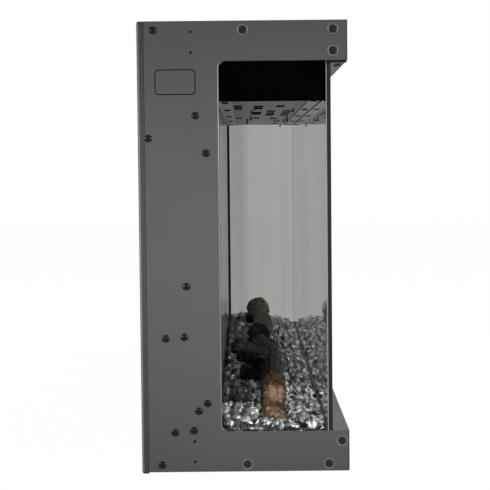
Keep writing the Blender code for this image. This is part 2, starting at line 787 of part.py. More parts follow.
def make_crystal_bed(logs):
    """The bed of glass pieces as one heaped solid, hollowed where the logs lie in it."""
    gap = TRAY_WALL + FIT
    front, rear = ROOM_FRONT + gap, ROOM_BACK - gap
    half = ROOM_END - gap
    shape = bmesh.new()
    bmesh.ops.create_grid(
        shape, x_segments=BED_CELLS_ALONG, y_segments=BED_CELLS_ACROSS, size=1.0
    )
    for vert in shape.verts:
        x = vert.co.x * half
        y = front + (vert.co.y + 1) / 2 * (rear - front)
        vert.co = (x, y, bed_height(x, y))
    grown = bmesh.ops.extrude_face_region(shape, geom=shape.faces[:])
    for item in grown["geom"]:
        if isinstance(item, bmesh.types.BMVert):
            item.co.z = BED_FLOOR
    bmesh.ops.recalc_face_normals(shape, faces=shape.faces)
    bed = object_from("crystal_bed", mesh_from(shape, "crystal_bed"), ICE)
    for name in logs:
        boolean(bed, log_solid(name + "_print", logs[name], LOG_GAP, "cutter"), "DIFFERENCE")
    boolean(bed, lump_solid("lump_print", LOG_GAP, "cutter"), "DIFFERENCE")


def place_of(share):
    """A point in the firebox: its shares of the length and, across and above the bed, of the depth."""
    across, above = ROOM_FRONT + share[1] * ROOM_DEPTH, share[2] * ROOM_DEPTH
    return Vector((share[0] * LENGTH, across, BED_FLOOR + BED_CREST + above))


def log_solid(name, shares, swell, kind):
    """A log: a bent, tapering tube with closed ends and a rough skin, swell larger all round."""
    start, end, radii, bend, seed = shares
    start, end = place_of(start), place_of(end)
    sideways = (end - start).cross(Vector((0.0, 0.0, 1.0))).normalized() * bend * ROOM_DEPTH
    path = bpy.data.curves.new(name, "CURVE")
    path.dimensions = "3D"
    path.use_fill_caps = True
    path.bevel_depth = 1.0
    path.bevel_resolution = LOG_BEVEL
    spline = path.splines.new("POLY")
    spline.points.add(LOG_RINGS - 1)
    grow = (end - start).normalized() * swell
    for index, point in enumerate(spline.points):
        part = index / (LOG_RINGS - 1)
        centre = (start - grow).lerp(end + grow, part) + sideways * math.sin(math.pi * part)
        point.co = (*centre, 1.0)
        point.radius = (radii[0] + (radii[1] - radii[0]) * part) * ROOM_DEPTH + swell
    guide = bpy.data.objects.new(name, path)
    bpy.context.scene.collection.objects.link(guide)
    graph = bpy.context.evaluated_depsgraph_get()
    mesh = bpy.data.meshes.new_from_object(guide.evaluated_get(graph))
    bpy.data.objects.remove(guide)
    shape = bmesh.new()
    shape.from_mesh(mesh)
    bpy.data.meshes.remove(mesh)
    bmesh.ops.remove_doubles(shape, verts=shape.verts, dist=FIT / 100)
    line = end - start
    for vert in shape.verts:
        part = max(0.0, min(1.0, (vert.co - start).dot(line) / line.length_squared))
        centre = start + line * part + sideways * math.sin(math.pi * part)
        out = (vert.co - centre).normalized()
        rough = noise.noise(vert.co / BARK_GRAIN + Vector((seed, 0.0, 0.0)))
        vert.co += out * rough * BARK_RELIEF
    bmesh.ops.recalc_face_normals(shape, faces=shape.faces)
    look = BARK if "bark" in name or "knot" in name else CHARRED
    return object_from(name, mesh_from(shape, name), look, kind)


def lump_solid(name, swell, kind):
    """The dark lump that lies in the bed by the left pane."""
    shape = bmesh.new()
    centre = place_of(LUMP_PLACE_SHARES)
    radius = LUMP_RADIUS_SHARE * ROOM_DEPTH + swell
    bmesh.ops.create_icosphere(shape, subdivisions=2, radius=radius)
    for vert in shape.verts:
        out = vert.co.normalized()
        vert.co += out * noise.noise(out) * LUMP_RELIEF + centre
    return object_from(name, mesh_from(shape, name), CHARRED, kind)


def make_logs():
    """The logs, each hollowed where it lies on the ones before it, then the bed round them all."""
    for name, shares in LOG_SHARES.items():
        log = log_solid(name, shares, 0.0, "part")
        for other in LOG_SEATS.get(name, ()):
            print_name = name + "_on_" + other
            boolean(log, log_solid(print_name, LOG_SHARES[other], LOG_GAP, "cutter"), "DIFFERENCE")
    lump_solid("charred_lump", 0.0, "part")
    make_crystal_bed(LOG_SHARES)


def spindle_point(x, radius=0.0, angle=0.0):
    return Vector(
        (x, SPINDLE_Y + radius * math.cos(angle), SPINDLE_HEIGHT + radius * math.sin(angle))
    )


def moving(obj, origin):
    """Sets an object's origin on its joint, with its shape left where it is."""
    obj.data.transform(Matrix.Translation(-Vector(origin)))
    obj.location = origin


def make_flame_spindle():
    """The rod with its tilted reflecting blades; its origin is on its axis."""
    rod_end = spindle_point(SPINDLE_HALF)
    spindle = rod("flame_spindle", spindle_point(-SPINDLE_HALF), rod_end, SPINDLE_ROD, MIRROR_SHEET)
    blades = []
    pitch = 2 * (SPINDLE_HALF - BUSH_LENGTH - BLADE_LENGTH) / (BLADES - 1)
    for index in range(BLADES):
        x = (index - (BLADES - 1) / 2) * pitch
        blade = box_mesh(
            "blade",
            (-BLADE_LENGTH / 2, -BLADE_RADIUS, -BLADE_SHEET / 2),
            (BLADE_LENGTH / 2, BLADE_RADIUS, BLADE_SHEET / 2),
        )
        turn = Matrix.Rotation(index * BLADE_TURN, 4, "X") @ Matrix.Rotation(BLADE_PITCH_ANGLE, 4, "Z")
        blade.transform(Matrix.Translation(spindle_point(x)) @ turn)
        blades.append(blade)
    boolean(spindle, joined("blades", blades), "UNION")
    moving(spindle, spindle_point(0.0))


def make_spindle_drive():
    """The spindle's motor and coupler at the left end, with their bracket."""
    shaft_end = -SPINDLE_HALF - FIT
    coupler_low = -SPINDLE_HALF - COUPLER_LENGTH / 2
    coupler_high = -SPINDLE_HALF + COUPLER_LENGTH / 2
    coupler = rod(
        "spindle_coupler",
        spindle_point(coupler_low),
        spindle_point(coupler_high),
        COUPLER_RADIUS,
        BLACK_PLASTIC,
        sides=SMALL_SIDES,
    )
    bore = SPINDLE_ROD + FIT
    cut(
        coupler,
        [
            rod_mesh(
                "bore",
                spindle_point(coupler_low - CUT_OVERRUN),
                spindle_point(coupler_high + CUT_OVERRUN),
                bore,
            )
        ],
    )
    plate_high = coupler_low - FIT
    plate_low = plate_high - SHEET
    motor_high = plate_low - FIT
    motor = rod(
        "spindle_motor",
        spindle_point(motor_high - MOTOR_LENGTH),
        spindle_point(motor_high),
        MOTOR_RADIUS,
        ZINC,
    )
    shaft = [
        rod_mesh(
            "shaft",
            spindle_point(motor_high - FIT),
            spindle_point(shaft_end),
            SPINDLE_ROD,
        )
    ]
    fuse(motor, shaft)
    end_bracket("motor_bracket", plate_low, -1, MOTOR_SHAFT)
    moving(coupler, spindle_point(0.0))


def end_bracket(name, low_x, side, hole):
    """An angle on the base pan, with a hole on the spindle's axis; low_x is its plate's low face."""
    half = BRACKET_WIDTH / 2
    top = SPINDLE_HEIGHT + half
    bracket = box(
        name, (low_x, SPINDLE_Y - half, STAND), (low_x + SHEET, SPINDLE_Y + half, top), ZINC
    )
    near, far = sorted((low_x + SHEET / 2, low_x + SHEET / 2 + side * BRACKET_FOOT))
    foot = box_mesh("foot", (near, SPINDLE_Y - half, STAND), (far, SPINDLE_Y + half, STAND + SHEET))
    fuse(bracket, [foot])
    low, high = low_x - CUT_OVERRUN, low_x + SHEET + CUT_OVERRUN
    cut(bracket, [rod_mesh("hole", spindle_point(low), spindle_point(high), hole)])


def make_spindle_bearing():
    """The bracket and plastic bush that carry the spindle's right end."""
    middle = SPINDLE_HALF - BUSH_LENGTH / 2
    low_x = middle - SHEET / 2
    end_bracket("bearing_bracket", low_x, 1, BUSH_RADIUS + FIT)
    bush = rod(
        "spindle_bush",
        spindle_point(SPINDLE_HALF - BUSH_LENGTH),
        spindle_point(SPINDLE_HALF),
        BUSH_RADIUS,
        BLACK_PLASTIC,
    )
    low, high = SPINDLE_HALF - BUSH_LENGTH - CUT_OVERRUN, SPINDLE_HALF + CUT_OVERRUN
    cut(bush, [rod_mesh("bore", spindle_point(low), spindle_point(high), SPINDLE_ROD + BUSH_BORE_GAP)])


def make_flame_baffle():
    """The black plate whose flame-shaped openings shape the light on the screen."""
    front = SCREEN_BACK + BAFFLE_FROM_SCREEN
    low = (-BAFFLE_HALF, front, STAND)
    baffle = box("flame_baffle", low, (BAFFLE_HALF, front + SHEET, STAND + BAFFLE_HEIGHT), BLACK_PAINT)
    flames = []
    steps = 6
    for index in range(FLAMES):
        x = (index - (FLAMES - 1) / 2) * 2 * BAFFLE_HALF / FLAMES
        base = STAND + (BAFFLE_HEIGHT - FLAME_HEIGHT) / 2
        outline = []
        for side in (1, -1):
            for step in range(steps):
                part = step / steps if side > 0 else 1 - step / steps
                swell = FLAME_FOOT_SHARE + (1 - FLAME_FOOT_SHARE) * part
                wide = FLAME_WIDTH / 2 * math.sin(math.pi * swell) ** 2
                lean = FLAME_WIDTH / 4 * math.sin(math.pi * part * (1 + index % 2))
                outline.append(Vector((x + lean + side * wide, base + FLAME_HEIGHT * part)))
        low, high = -front - SHEET - CUT_OVERRUN, -front + CUT_OVERRUN
        flames.append(slab_mesh("flame", outline, low, high, FRONT_PLANE))
    cut(baffle, flames)


def lamp_board(name, front, stand, look=BOARD_GREEN, facing=1):
    """A long lamp strip on posts; facing is 1 for lamps on top and -1 for lamps underneath."""
    rear = front + LAMP_BOARD_WIDTH
    low = stand + BOARD_STAND
    board = box(name, (-LAMP_BOARD_HALF, front, low), (LAMP_BOARD_HALF, rear, low + BOARD), look)
    middle = (front + rear) / 2
    additions = []
    for index in range(LAMPS):
        x = (index - (LAMPS - 1) / 2) * 2 * LAMP_BOARD_HALF / LAMPS
        half = LAMP / 2
        if facing > 0:
            z_low, z_high = low + BOARD / 2, low + BOARD + LAMP_HEIGHT
        else:
            z_low, z_high = low - LAMP_HEIGHT, low + BOARD / 2
        additions.append(
            box_mesh("lamp", (x - half, middle - half, z_low), (x + half, middle + half, z_high))
        )
    for side in (-1, 0, 1):
        x = side * (LAMP_BOARD_HALF - LAMP) * (LAMPS - 2) / LAMPS
        additions.append(
            rod_mesh(
                "post",
                (x, middle, stand),
                (x, middle, low + BOARD / 2),
                BOARD_POST,
                SMALL_SIDES,
            )
        )
    fuse(board, additions)


def make_lamp_boards():
    middle = (ROOM_FRONT + ROOM_BACK) / 2
    lamp_board("ember_lamp_board", middle - LAMP_BOARD_WIDTH / 2, STAND)
    lamp_board("flame_lamp_board", SCREEN_BACK + BAFFLE_FROM_SCREEN + 2 * SHEET, STAND)
    lamp_board("downlight_board", ROOM_FRONT + SHEET + FIT, CEILING_TOP, facing=-1)


WHEEL_Y = ELEMENT_REAR + WHEEL_PLACE_SHARE * (HEATER_REAR - SHEET - ELEMENT_REAR)
WHEEL_Z = (CEILING_TOP + HEATER_TOP) / 2
WHEEL_LOW = -HEATER_HALF + SHEET + WHEEL_STUB
WHEEL_HIGH = HEATER_HALF - SHEET - FAN_MOTOR_LENGTH - 2 * WHEEL_STUB


def wheel_point(x):
    return Vector((x, WHEEL_Y, WHEEL_Z))


def make_heater_housing():
    """The heater's box, open towards the front, standing on the ceiling."""
    low = (-HEATER_HALF, HEATER_FACE, CEILING_TOP)
    tray("heater_housing", low, (HEATER_HALF, HEATER_REAR, HEATER_TOP), SHEET, (1, -1), ZINC)


def make_fan_wheel():
    """The cross-flow wheel: discs joined by long blades, on a shaft; its origin is on its axis."""
    wheel = rod(
        "fan_wheel",
        wheel_point(WHEEL_LOW),
        wheel_point(WHEEL_LOW + WHEEL_DISC),
        WHEEL_RADIUS,
        BLACK_PLASTIC,
    )
    spacing = (WHEEL_HIGH - WHEEL_LOW - WHEEL_DISC) / (WHEEL_DISCS - 1)
    discs = []
    for index in range(1, WHEEL_DISCS):
        low = WHEEL_LOW + index * spacing
        discs.append(
            rod_mesh("disc", wheel_point(low), wheel_point(low + WHEEL_DISC), WHEEL_RADIUS)
        )
    shaft_low, shaft_high = WHEEL_LOW - WHEEL_STUB + FIT, WHEEL_HIGH + WHEEL_STUB
    shaft = rod_mesh("shaft", wheel_point(shaft_low), wheel_point(shaft_high), WHEEL_SHAFT, SMALL_SIDES)
    blades = []
    middle = WHEEL_RADIUS - WHEEL_BLADE / 2 - WHEEL_BLADE_SHEET
    for index in range(WHEEL_BLADES):
        blade = box_mesh(
            "blade",
            (WHEEL_LOW + WHEEL_DISC / 2, -WHEEL_BLADE / 2, -WHEEL_BLADE_SHEET / 2),
            (WHEEL_HIGH - WHEEL_DISC / 2, WHEEL_BLADE / 2, WHEEL_BLADE_SHEET / 2),
        )
        around = Matrix.Rotation(index * 2 * math.pi / WHEEL_BLADES, 4, "X")
        out = Matrix.Translation((0.0, middle, 0.0))
        blade.transform(Matrix.Translation(wheel_point(0.0)) @ around @ out)
        blades.append(blade)
    boolean(wheel, joined("fan_discs", discs), "UNION")
    boolean(wheel, joined("fan_shaft", [shaft]), "UNION")
    boolean(wheel, joined("fan_blades", blades), "UNION")
    moving(wheel, wheel_point(0.0))


def make_fan_motor():
    """The fan's motor, inside the right end of the housing, with a socket for the wheel's shaft."""
    low = WHEEL_HIGH + WHEEL_STUB + FIT
    end = HEATER_HALF - SHEET - FIT
    high = low + FAN_MOTOR_LENGTH
    motor = rod("fan_motor", wheel_point(low), wheel_point(high), FAN_MOTOR_RADIUS, ZINC)
    mount = rod_mesh(
        "mount", wheel_point(low + FAN_MOTOR_LENGTH / 2), wheel_point(end), FAN_MOTOR_RADIUS / 2
    )
    fuse(motor, [mount])


def make_heating_element():
    """A mica frame with heating bars across it, just behind the housing's mouth."""
    front, rear = ELEMENT_FACE, ELEMENT_REAR
    half = HEATER_HALF - SHEET - FIT
    low_z = CEILING_TOP + SHEET + FIT
    high_z = low_z + ELEMENT_HEIGHT
    frame = box("heating_element", (-half, front, low_z), (half, rear, high_z), MICA)
    cells = []
    inner = half - ELEMENT_FRAME
    width = 2 * inner / ELEMENT_BARS
    for index in range(ELEMENT_BARS):
        start = -inner + index * width
        cells.append(
            box_mesh(
                "cell",
                (start + ELEMENT_FRAME / 2, front - CUT_OVERRUN, low_z + ELEMENT_FRAME),
                (start + width - ELEMENT_FRAME / 2, rear + CUT_OVERRUN, high_z - ELEMENT_FRAME),
            )
        )
    cut(frame, cells)


def make_air_deflector():
    """The sheet that turns the heater's air down through the hood's outlet slots."""
    top = HEATER_TOP - FIT
    face = FRONT + SHEET + FIT
    line = (
        (HEATER_FACE - FIT, top),
        (face + DEFLECTOR_DROP, top),
        (face, top - DEFLECTOR_DROP),
        (face, HOOD_TOP + FIT),
    )
    folded("air_deflector", line, (-HEATER_HALF, HEATER_HALF), SHEET, ZINC)


def make_power_supply():
    width, depth, height = SUPPLY_SIZE
    middle = (ROOM_FRONT + ROOM_BACK) / 2
    low = (SUPPLY_CENTRE - width / 2, middle - depth / 2, CEILING_TOP)
    high = (SUPPLY_CENTRE + width / 2, middle + depth / 2, CEILING_TOP + height)
    supply = box("power_supply", low, high, ZINC)
    soften(supply, SHEET)


def soften(obj, width):
    """A small rounding of an object's edges."""
    bevel = obj.modifiers.new("edges", "BEVEL")
    bevel.width = width
    bevel.segments = 1


def make_control_board():
    """The control board on its posts, with its main chips and relays."""
    width, depth = CONTROL_SIZE
    middle = (ROOM_FRONT + ROOM_BACK) / 2
    low_z = CEILING_TOP + BOARD_STAND
    left, right = CONTROL_CENTRE - width / 2, CONTROL_CENTRE + width / 2
    front, rear = middle - depth / 2, middle + depth / 2
    board = box("control_board", (left, front, low_z), (right, rear, low_z + BOARD), BOARD_GREEN)
    additions = []
    inset = 2 * BOARD_POST
    for x in (left + inset, right - inset):
        for y in (front + inset, rear - inset):
            additions.append(
                rod_mesh("post", (x, y, CEILING_TOP), (x, y, low_z + BOARD / 2), BOARD_POST, SMALL_SIDES)
            )
    chip_width, chip_depth, chip_height = CHIP_SIZE
    for x in (CONTROL_CENTRE - width / 4, CONTROL_CENTRE + width / 8):
        for y in (middle - depth / 5, middle + depth / 5):
            corner = (x - chip_width / 2, y - chip_depth / 2, low_z + BOARD / 2)
            other = (x + chip_width / 2, y + chip_depth / 2, low_z + BOARD + chip_height)
            additions.append(box_mesh("chip", corner, other))
    fuse(board, additions)


def make_junction_box():
    """The box behind the left knock-out, open towards it, with its terminal block."""
    y, z = BACK - KNOCKOUT_FROM_BACK, KNOCKOUT_CENTRE
    half_y = KNOCKOUT_WIDTH / 2 + JUNCTION_MARGIN
    half_z = KNOCKOUT_HEIGHT / 2 + JUNCTION_MARGIN
    inner = -INNER_END + JUNCTION_DEPTH
    tray(
        "junction_box",
        (-INNER_END, y - half_y, z - half_z),
        (inner, y + half_y, z + half_z),
        SHEET,
        (0, -1),
        ZINC,
    )
    width, depth, height = TERMINAL_SIZE
    wall = inner - SHEET - FIT
    box(
        "terminal_block",
        (wall - width, y - depth / 2, z - height / 2),
        (wall, y + depth / 2, z + height / 2),
        MICA,
    )


def make_cord_gland():
    """The gland in the back cover that the supply cord would pass through."""
    x, z = GLAND_CENTRE, GLAND_HEIGHT
    gland = rod("cord_gland", (x, BACK, z), (x, BACK - GLAND_LENGTH, z), GLAND_RADIUS, BLACK_PLASTIC)
    start = BACK - SHEET - FIT
    flange = rod_mesh("flange", (x, start, z), (x, start - SHEET, z), GLAND_FLANGE)
    fuse(gland, [flange])
    bore = rod_mesh(
        "bore", (x, BACK + CUT_OVERRUN, z), (x, BACK - GLAND_LENGTH - CUT_OVERRUN, z), GLAND_BORE
    )
    cut(gland, [bore])


BUTTON_NAMES = ("button_power", "button_flame", "button_heat")


def button_places():
    """The buttons' centres along the length."""
    for index, name in enumerate(BUTTON_NAMES):
        yield name, OVAL_CENTRE + (index - (len(BUTTON_NAMES) - 1) / 2) * BUTTON_PITCH


def make_buttons():
    """The button plate over the hood's right oval slot, and the buttons in it."""
    y = FRONT + OVAL_FROM_FRONT
    front, rear = FRONT + SHEET + FIT, LEG_BACK - SHEET - FIT
    half = OVAL_LENGTH / 2 + BUTTON_PLATE_OVERLAP
    low = HOOD_TOP + FIT
    plate_low = (OVAL_CENTRE - half, front, low)
    plate = box("button_plate", plate_low, (OVAL_CENTRE + half, rear, low + SHEET), BLACK_PLASTIC)
    holes = []
    for name, x in button_places():
        hole = BUTTON_RADIUS + BUTTON_GAP
        start, end = (x, y, low - CUT_OVERRUN), (x, y, low + SHEET + CUT_OVERRUN)
        holes.append(rod_mesh("hole", start, end, hole))
        start = WINDOW_TOP + BUTTON_SINK
        button = rod(
            name, (x, y, start), (x, y, start + BUTTON_HEIGHT), BUTTON_RADIUS, BLACK_PLASTIC
        )
        seat = low + SHEET + FIT
        fuse(button, [rod_mesh("flange", (x, y, seat), (x, y, seat + SHEET), BUTTON_FLANGE)])
        moving(button, (x, y, seat))
    cut(plate, holes)
    top = WINDOW_TOP + BUTTON_SINK + BUTTON_HEIGHT + BUTTON_TRAVEL + FIT
    board = box(
        "button_board",
        (OVAL_CENTRE - half, front, top),
        (OVAL_CENTRE + half, rear, top + BOARD),
        BOARD_GREEN,
    )
    posts = []
    for side in (-1, 1):
        x = OVAL_CENTRE + side * (half - BOARD_POST)
        middle = (front + rear) / 2
        posts.append(
            rod_mesh(
                "post",
                (x, middle, low + SHEET + FIT),
                (x, middle, top + BOARD / 2),
                BOARD_POST / 2,
                SMALL_SIDES,
            )
        )
    fuse(board, posts)


def make_receiver():
    """The dark window of the remote control's receiver, over the hood's left oval slot."""
    half = OVAL_LENGTH / 2 + BUTTON_PLATE_OVERLAP
    low = HOOD_TOP + FIT
    front, rear = FRONT + SHEET + FIT, LEG_BACK - SHEET - FIT
    box(
        "receiver_window",
        (-OVAL_CENTRE - half, front, low),
        (-OVAL_CENTRE + half, rear, low + BOARD_STAND),
        BLACK_PLASTIC,
    )


def rocker_pivot():
    middle = (FRONT + SHEET + LEG_BACK - SHEET) / 2
    return Vector((ROCKER_CENTRE, middle, HOOD_TOP + ROCKER_PIVOT))


def make_rocker_switch():
    """The main switch: a frame in the hood and a key that rocks along the length."""
    pivot = rocker_pivot()
    half_x, half_y = ROCKER_LENGTH / 2, ROCKER_WIDTH / 2
    low, high = WINDOW_TOP, WINDOW_TOP + ROCKER_DEPTH
    frame = box(
        "rocker_frame",
        (pivot.x - half_x, pivot.y - half_y, low),
        (pivot.x + half_x, pivot.y + half_y, high),
        BLACK_PLASTIC,
    )
    inner_x, inner_y = half_x - ROCKER_WALL, half_y - ROCKER_WALL
    cut(
        frame,
        [
            box_mesh(
                "pocket",
                (pivot.x - inner_x, pivot.y - inner_y, low - CUT_OVERRUN),
                (pivot.x + inner_x, pivot.y + inner_y, high - ROCKER_WALL),
            )
        ],
    )
    key_x = inner_x - ROCKER_SWING_GAP
    key_y = inner_y - FIT
    reach = ROCKER_PIVOT + SHEET - BUTTON_SINK
    outline = [
        Vector((-key_x, -reach / 2)),
        Vector((0.0, -reach)),
        Vector((key_x, -reach / 2)),
        Vector((key_x / 2, ROCKER_WALL)),
        Vector((-key_x / 2, ROCKER_WALL)),
    ]
    place = Matrix.Translation(pivot) @ FRONT_PLANE
    key = object_from(
        "rocker_key", slab_mesh("rocker_key", outline, -key_y, key_y, place), BLACK_PLASTIC
    )
    moving(key, pivot)


def main():
    clear_scene()
    new_collection(COLLECTION_NAME)
    new_collection(CUTTER_NAME)
    end_panel("side_panel_left", -1)
    end_panel("side_panel_right", 1)
    make_base_pan()
    make_top_pan()
    make_back_cover()
    make_front_top_trim()
    make_front_bottom_trim()
    make_glass()
    make_glass_rails()
    make_pane_holders()
    make_floor_rails()
    make_ember_tray()
    make_ceiling()
    make_flame_screen()
    make_logs()
    make_flame_spindle()
    make_spindle_drive()
    make_spindle_bearing()
    make_flame_baffle()
    make_lamp_boards()
    make_heater_housing()
    make_fan_wheel()
    make_fan_motor()
    make_heating_element()
    make_air_deflector()
    make_power_supply()
    make_control_board()
    make_junction_box()
    make_cord_gland()
    make_buttons()
    make_receiver()
    make_rocker_switch()


main()
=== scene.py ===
import json
import math
from dataclasses import dataclass

import bmesh
import bpy
import numpy as np
from bpy.props import FloatProperty, FloatVectorProperty, IntProperty, PointerProperty
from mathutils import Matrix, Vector, noise

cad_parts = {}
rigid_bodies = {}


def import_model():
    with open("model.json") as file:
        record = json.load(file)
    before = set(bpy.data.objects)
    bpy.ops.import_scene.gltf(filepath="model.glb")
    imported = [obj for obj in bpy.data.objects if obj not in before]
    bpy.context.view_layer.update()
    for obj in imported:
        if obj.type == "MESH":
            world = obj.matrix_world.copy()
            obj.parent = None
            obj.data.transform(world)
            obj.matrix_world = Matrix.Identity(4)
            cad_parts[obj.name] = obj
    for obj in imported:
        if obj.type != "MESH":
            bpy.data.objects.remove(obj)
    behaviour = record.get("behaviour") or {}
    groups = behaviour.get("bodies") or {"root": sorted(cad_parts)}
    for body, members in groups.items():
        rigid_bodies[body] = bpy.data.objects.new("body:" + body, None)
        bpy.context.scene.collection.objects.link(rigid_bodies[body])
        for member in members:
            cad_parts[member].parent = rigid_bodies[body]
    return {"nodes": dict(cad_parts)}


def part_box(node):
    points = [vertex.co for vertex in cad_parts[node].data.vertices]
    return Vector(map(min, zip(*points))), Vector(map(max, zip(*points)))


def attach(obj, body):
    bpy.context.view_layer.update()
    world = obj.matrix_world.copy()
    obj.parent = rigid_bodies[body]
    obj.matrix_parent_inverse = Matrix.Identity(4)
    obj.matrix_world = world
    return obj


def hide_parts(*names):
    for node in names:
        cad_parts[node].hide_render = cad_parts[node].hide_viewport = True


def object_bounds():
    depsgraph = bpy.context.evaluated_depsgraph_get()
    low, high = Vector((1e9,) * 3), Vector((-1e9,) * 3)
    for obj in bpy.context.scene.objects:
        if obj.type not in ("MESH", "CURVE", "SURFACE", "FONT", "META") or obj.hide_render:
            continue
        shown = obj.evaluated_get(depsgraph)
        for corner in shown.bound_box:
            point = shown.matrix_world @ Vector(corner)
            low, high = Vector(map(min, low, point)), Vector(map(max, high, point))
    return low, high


bl_info = {
    "name": "Three-sided electric fireplace",
    "version": (1, 0, 0),
    "blender": (4, 5, 0),
    "location": "View3D > Sidebar > Fireplace",
    "description": "Dresses the frame of a three-sided electric fireplace: casing, glass, bed, logs, stage",
    "category": "Object",
}

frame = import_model()
CAD_LOW, CAD_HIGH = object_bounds()
CASING = "casing"
SIDES = (-1, 1)


# Sizes and colours that a user would change

def size_property(name, description, default, low, high):
    return FloatProperty(
        name=name, description=description, unit="LENGTH", default=default, min=low, max=high)


def colour_property(name, description, default):
    return FloatVectorProperty(
        name=name, description=description, subtype="COLOR", size=3, min=0.0, max=1.0, default=default)


class CasingProperties(bpy.types.PropertyGroup):
    paint: colour_property("Paint", "Colour of the satin powder coat", (0.0332, 0.0345, 0.0352))
    edge: size_property("Edge", "Rounding of the cut edges of the sheet metal", 0.00035, 0.0, 0.001)
    screw_diameter: size_property("Screw head", "Diameter of the black button heads", 0.0112, 0.004, 0.02)
    screw_height: size_property("Screw height", "Height of the black button heads", 0.0024, 0.001, 0.006)
    seat_diameter: size_property("Seat", "Diameter of the seats of the flat screws", 0.0130, 0.006, 0.02)


class GlassProperties(bpy.types.PropertyGroup):
    # The tint is darker than clear glass: painted shade for the grey backdrop seen through the panes.
    shaded_tint: colour_property("Tint", "Colour that each face of a pane lets through", (0.586, 0.597, 0.586))
    band: size_property("Band", "Height of the printed band below the near window's top", 0.0573, 0.0, 0.2)


class BedProperties(bpy.types.PropertyGroup):
    spacing: size_property("Spacing", "Least distance between the large glass pieces", 0.0135, 0.004, 0.03)
    largest: size_property("Largest", "Radius of the largest glass piece", 0.0160, 0.003, 0.02)
    seed: IntProperty(name="Seed", description="Chooses one arrangement of the glass pieces", default=11)


class LogProperties(bpy.types.PropertyGroup):
    bark: colour_property("Bark", "Colour of the brown bark", (0.088, 0.055, 0.030))
    bare: colour_property("Bare wood", "Colour of the wood where the bark is worn off", (0.37, 0.215, 0.145))
    relief: size_property("Relief", "Depth of the grooves in the bark", 0.0022, 0.0, 0.006)


class StageProperties(bpy.types.PropertyGroup):
    floor: colour_property("Floor", "Colour of the floor", (0.92, 0.92, 0.92))
    fill: FloatProperty(
        name="Fill", description="Strength of the even light from all sides", min=0.0, max=2.0, default=0.3)
    lamp: FloatProperty(
        name="Lamp", description="Power that each soft lamp takes its share of", min=0.0, max=500.0,
        default=12.0)


# Node helpers

def connect(tree, node, inputs):
    """Links each input of a node that is given a socket, and sets each that is given a value."""
    for key, value in inputs.items():
        if isinstance(value, bpy.types.NodeSocket):
            tree.links.new(value, node.inputs[key])
        else:
            node.inputs[key].default_value = value


def add(tree, kind, settings=None, inputs=None, output=0):
    """One output of a new node with these settings and inputs."""
    node = tree.nodes.new(kind)
    for key, value in (settings or {}).items():
        setattr(node, key, value)
    connect(tree, node, inputs or {})
    return node.outputs[output]


def sockets(tree, inputs, outputs):
    """Named sockets of a node group: the outputs of its first node, and its last node."""
    for label, kind, value in inputs:
        made = tree.interface.new_socket(label, in_out="INPUT", socket_type="NodeSocket" + kind)
        if value is not None:
            made.default_value = value
    for label, kind in outputs:
        tree.interface.new_socket(label, in_out="OUTPUT", socket_type="NodeSocket" + kind)
    return tree.nodes.new("NodeGroupInput").outputs, tree.nodes.new("NodeGroupOutput")


def ranged(tree, value, low, high, start=0.0, end=1.0):
    return add(tree, "ShaderNodeMapRange", None, {
        "Value": value, "From Min": start, "From Max": end, "To Min": low, "To Max": high})


def mixed(tree, factor, first, second, blend="MIX"):
    settings = {"data_type": "RGBA", "blend_type": blend}
    return add(tree, "ShaderNodeMix", settings, {0: factor, 6: first, 7: second}, 2)


def arithmetic(tree, operation, first, second):
    return add(tree, "ShaderNodeMath", {"operation": operation}, {0: first, 1: second})


def clouds(tree, place, scale, detail=2.0, output="Fac"):
    return add(tree, "ShaderNodeTexNoise", None, {"Vector": place, "Scale": scale, "Detail": detail}, output)


def object_place(tree):
    return add(tree, "ShaderNodeTexCoord", output="Object")


def place_along(tree, axis):
    """The place along an axis of the fireplace, in metres."""
    return add(tree, "ShaderNodeSeparateXYZ", None, {"Vector": object_place(tree)}, axis)


def colour(rgb):
    return (*rgb, 1.0)


# Shader groups that several materials share

EVEN = (1.0, 1.0, 1.0)


def shader_group(name, inputs, outputs):
    """A group whose pattern follows the object's own coordinates, stretched along each axis."""
    tree = bpy.data.node_groups.new(name, "ShaderNodeTree")
    given, end = sockets(tree, inputs + [("Stretch", "Vector", EVEN)], outputs)
    place = add(tree, "ShaderNodeVectorMath", {"operation": "MULTIPLY"},
                {0: object_place(tree), 1: given["Stretch"]})
    return tree, given, end, place


def cloudy_group():
    """A colour that drifts lighter and darker over the surface, and the mask that it follows."""
    group, given, end, place = shader_group(
        "cloudy colour",
        [("Color", "Color", (0.5, 0.5, 0.5, 1.0)), ("Change", "Float", 0.1), ("Scale", "Float", 5.0)],
        [("Color", "Color"), ("Mask", "Float")])
    mask = ranged(group, clouds(group, place, given["Scale"], 4.0), 0.0, 1.0, 0.3, 0.7)
    low = arithmetic(group, "SUBTRACT", 1.0, given["Change"])
    high = arithmetic(group, "ADD", 1.0, given["Change"])
    scaled = add(group, "ShaderNodeVectorMath", {"operation": "SCALE"},
                 {0: given["Color"], "Scale": ranged(group, mask, low, high)})
    connect(group, end, {"Color": scaled, "Mask": mask})
    return group


def grain_group():
    """A fine grain: its height for a bump, and a roughness that follows it."""
    group, given, end, place = shader_group(
        "fine grain",
        [("Scale", "Float", 900.0), ("Roughness", "Float", 0.5), ("Spread", "Float", 0.08)],
        [("Height", "Float"), ("Roughness", "Float")])
    grain = clouds(group, place, given["Scale"], 3.0)
    low = arithmetic(group, "SUBTRACT", given["Roughness"], given["Spread"])
    high = arithmetic(group, "ADD", given["Roughness"], given["Spread"])
    connect(group, end, {"Height": grain, "Roughness": ranged(group, grain, low, high, 0.3, 0.7)})
    return group


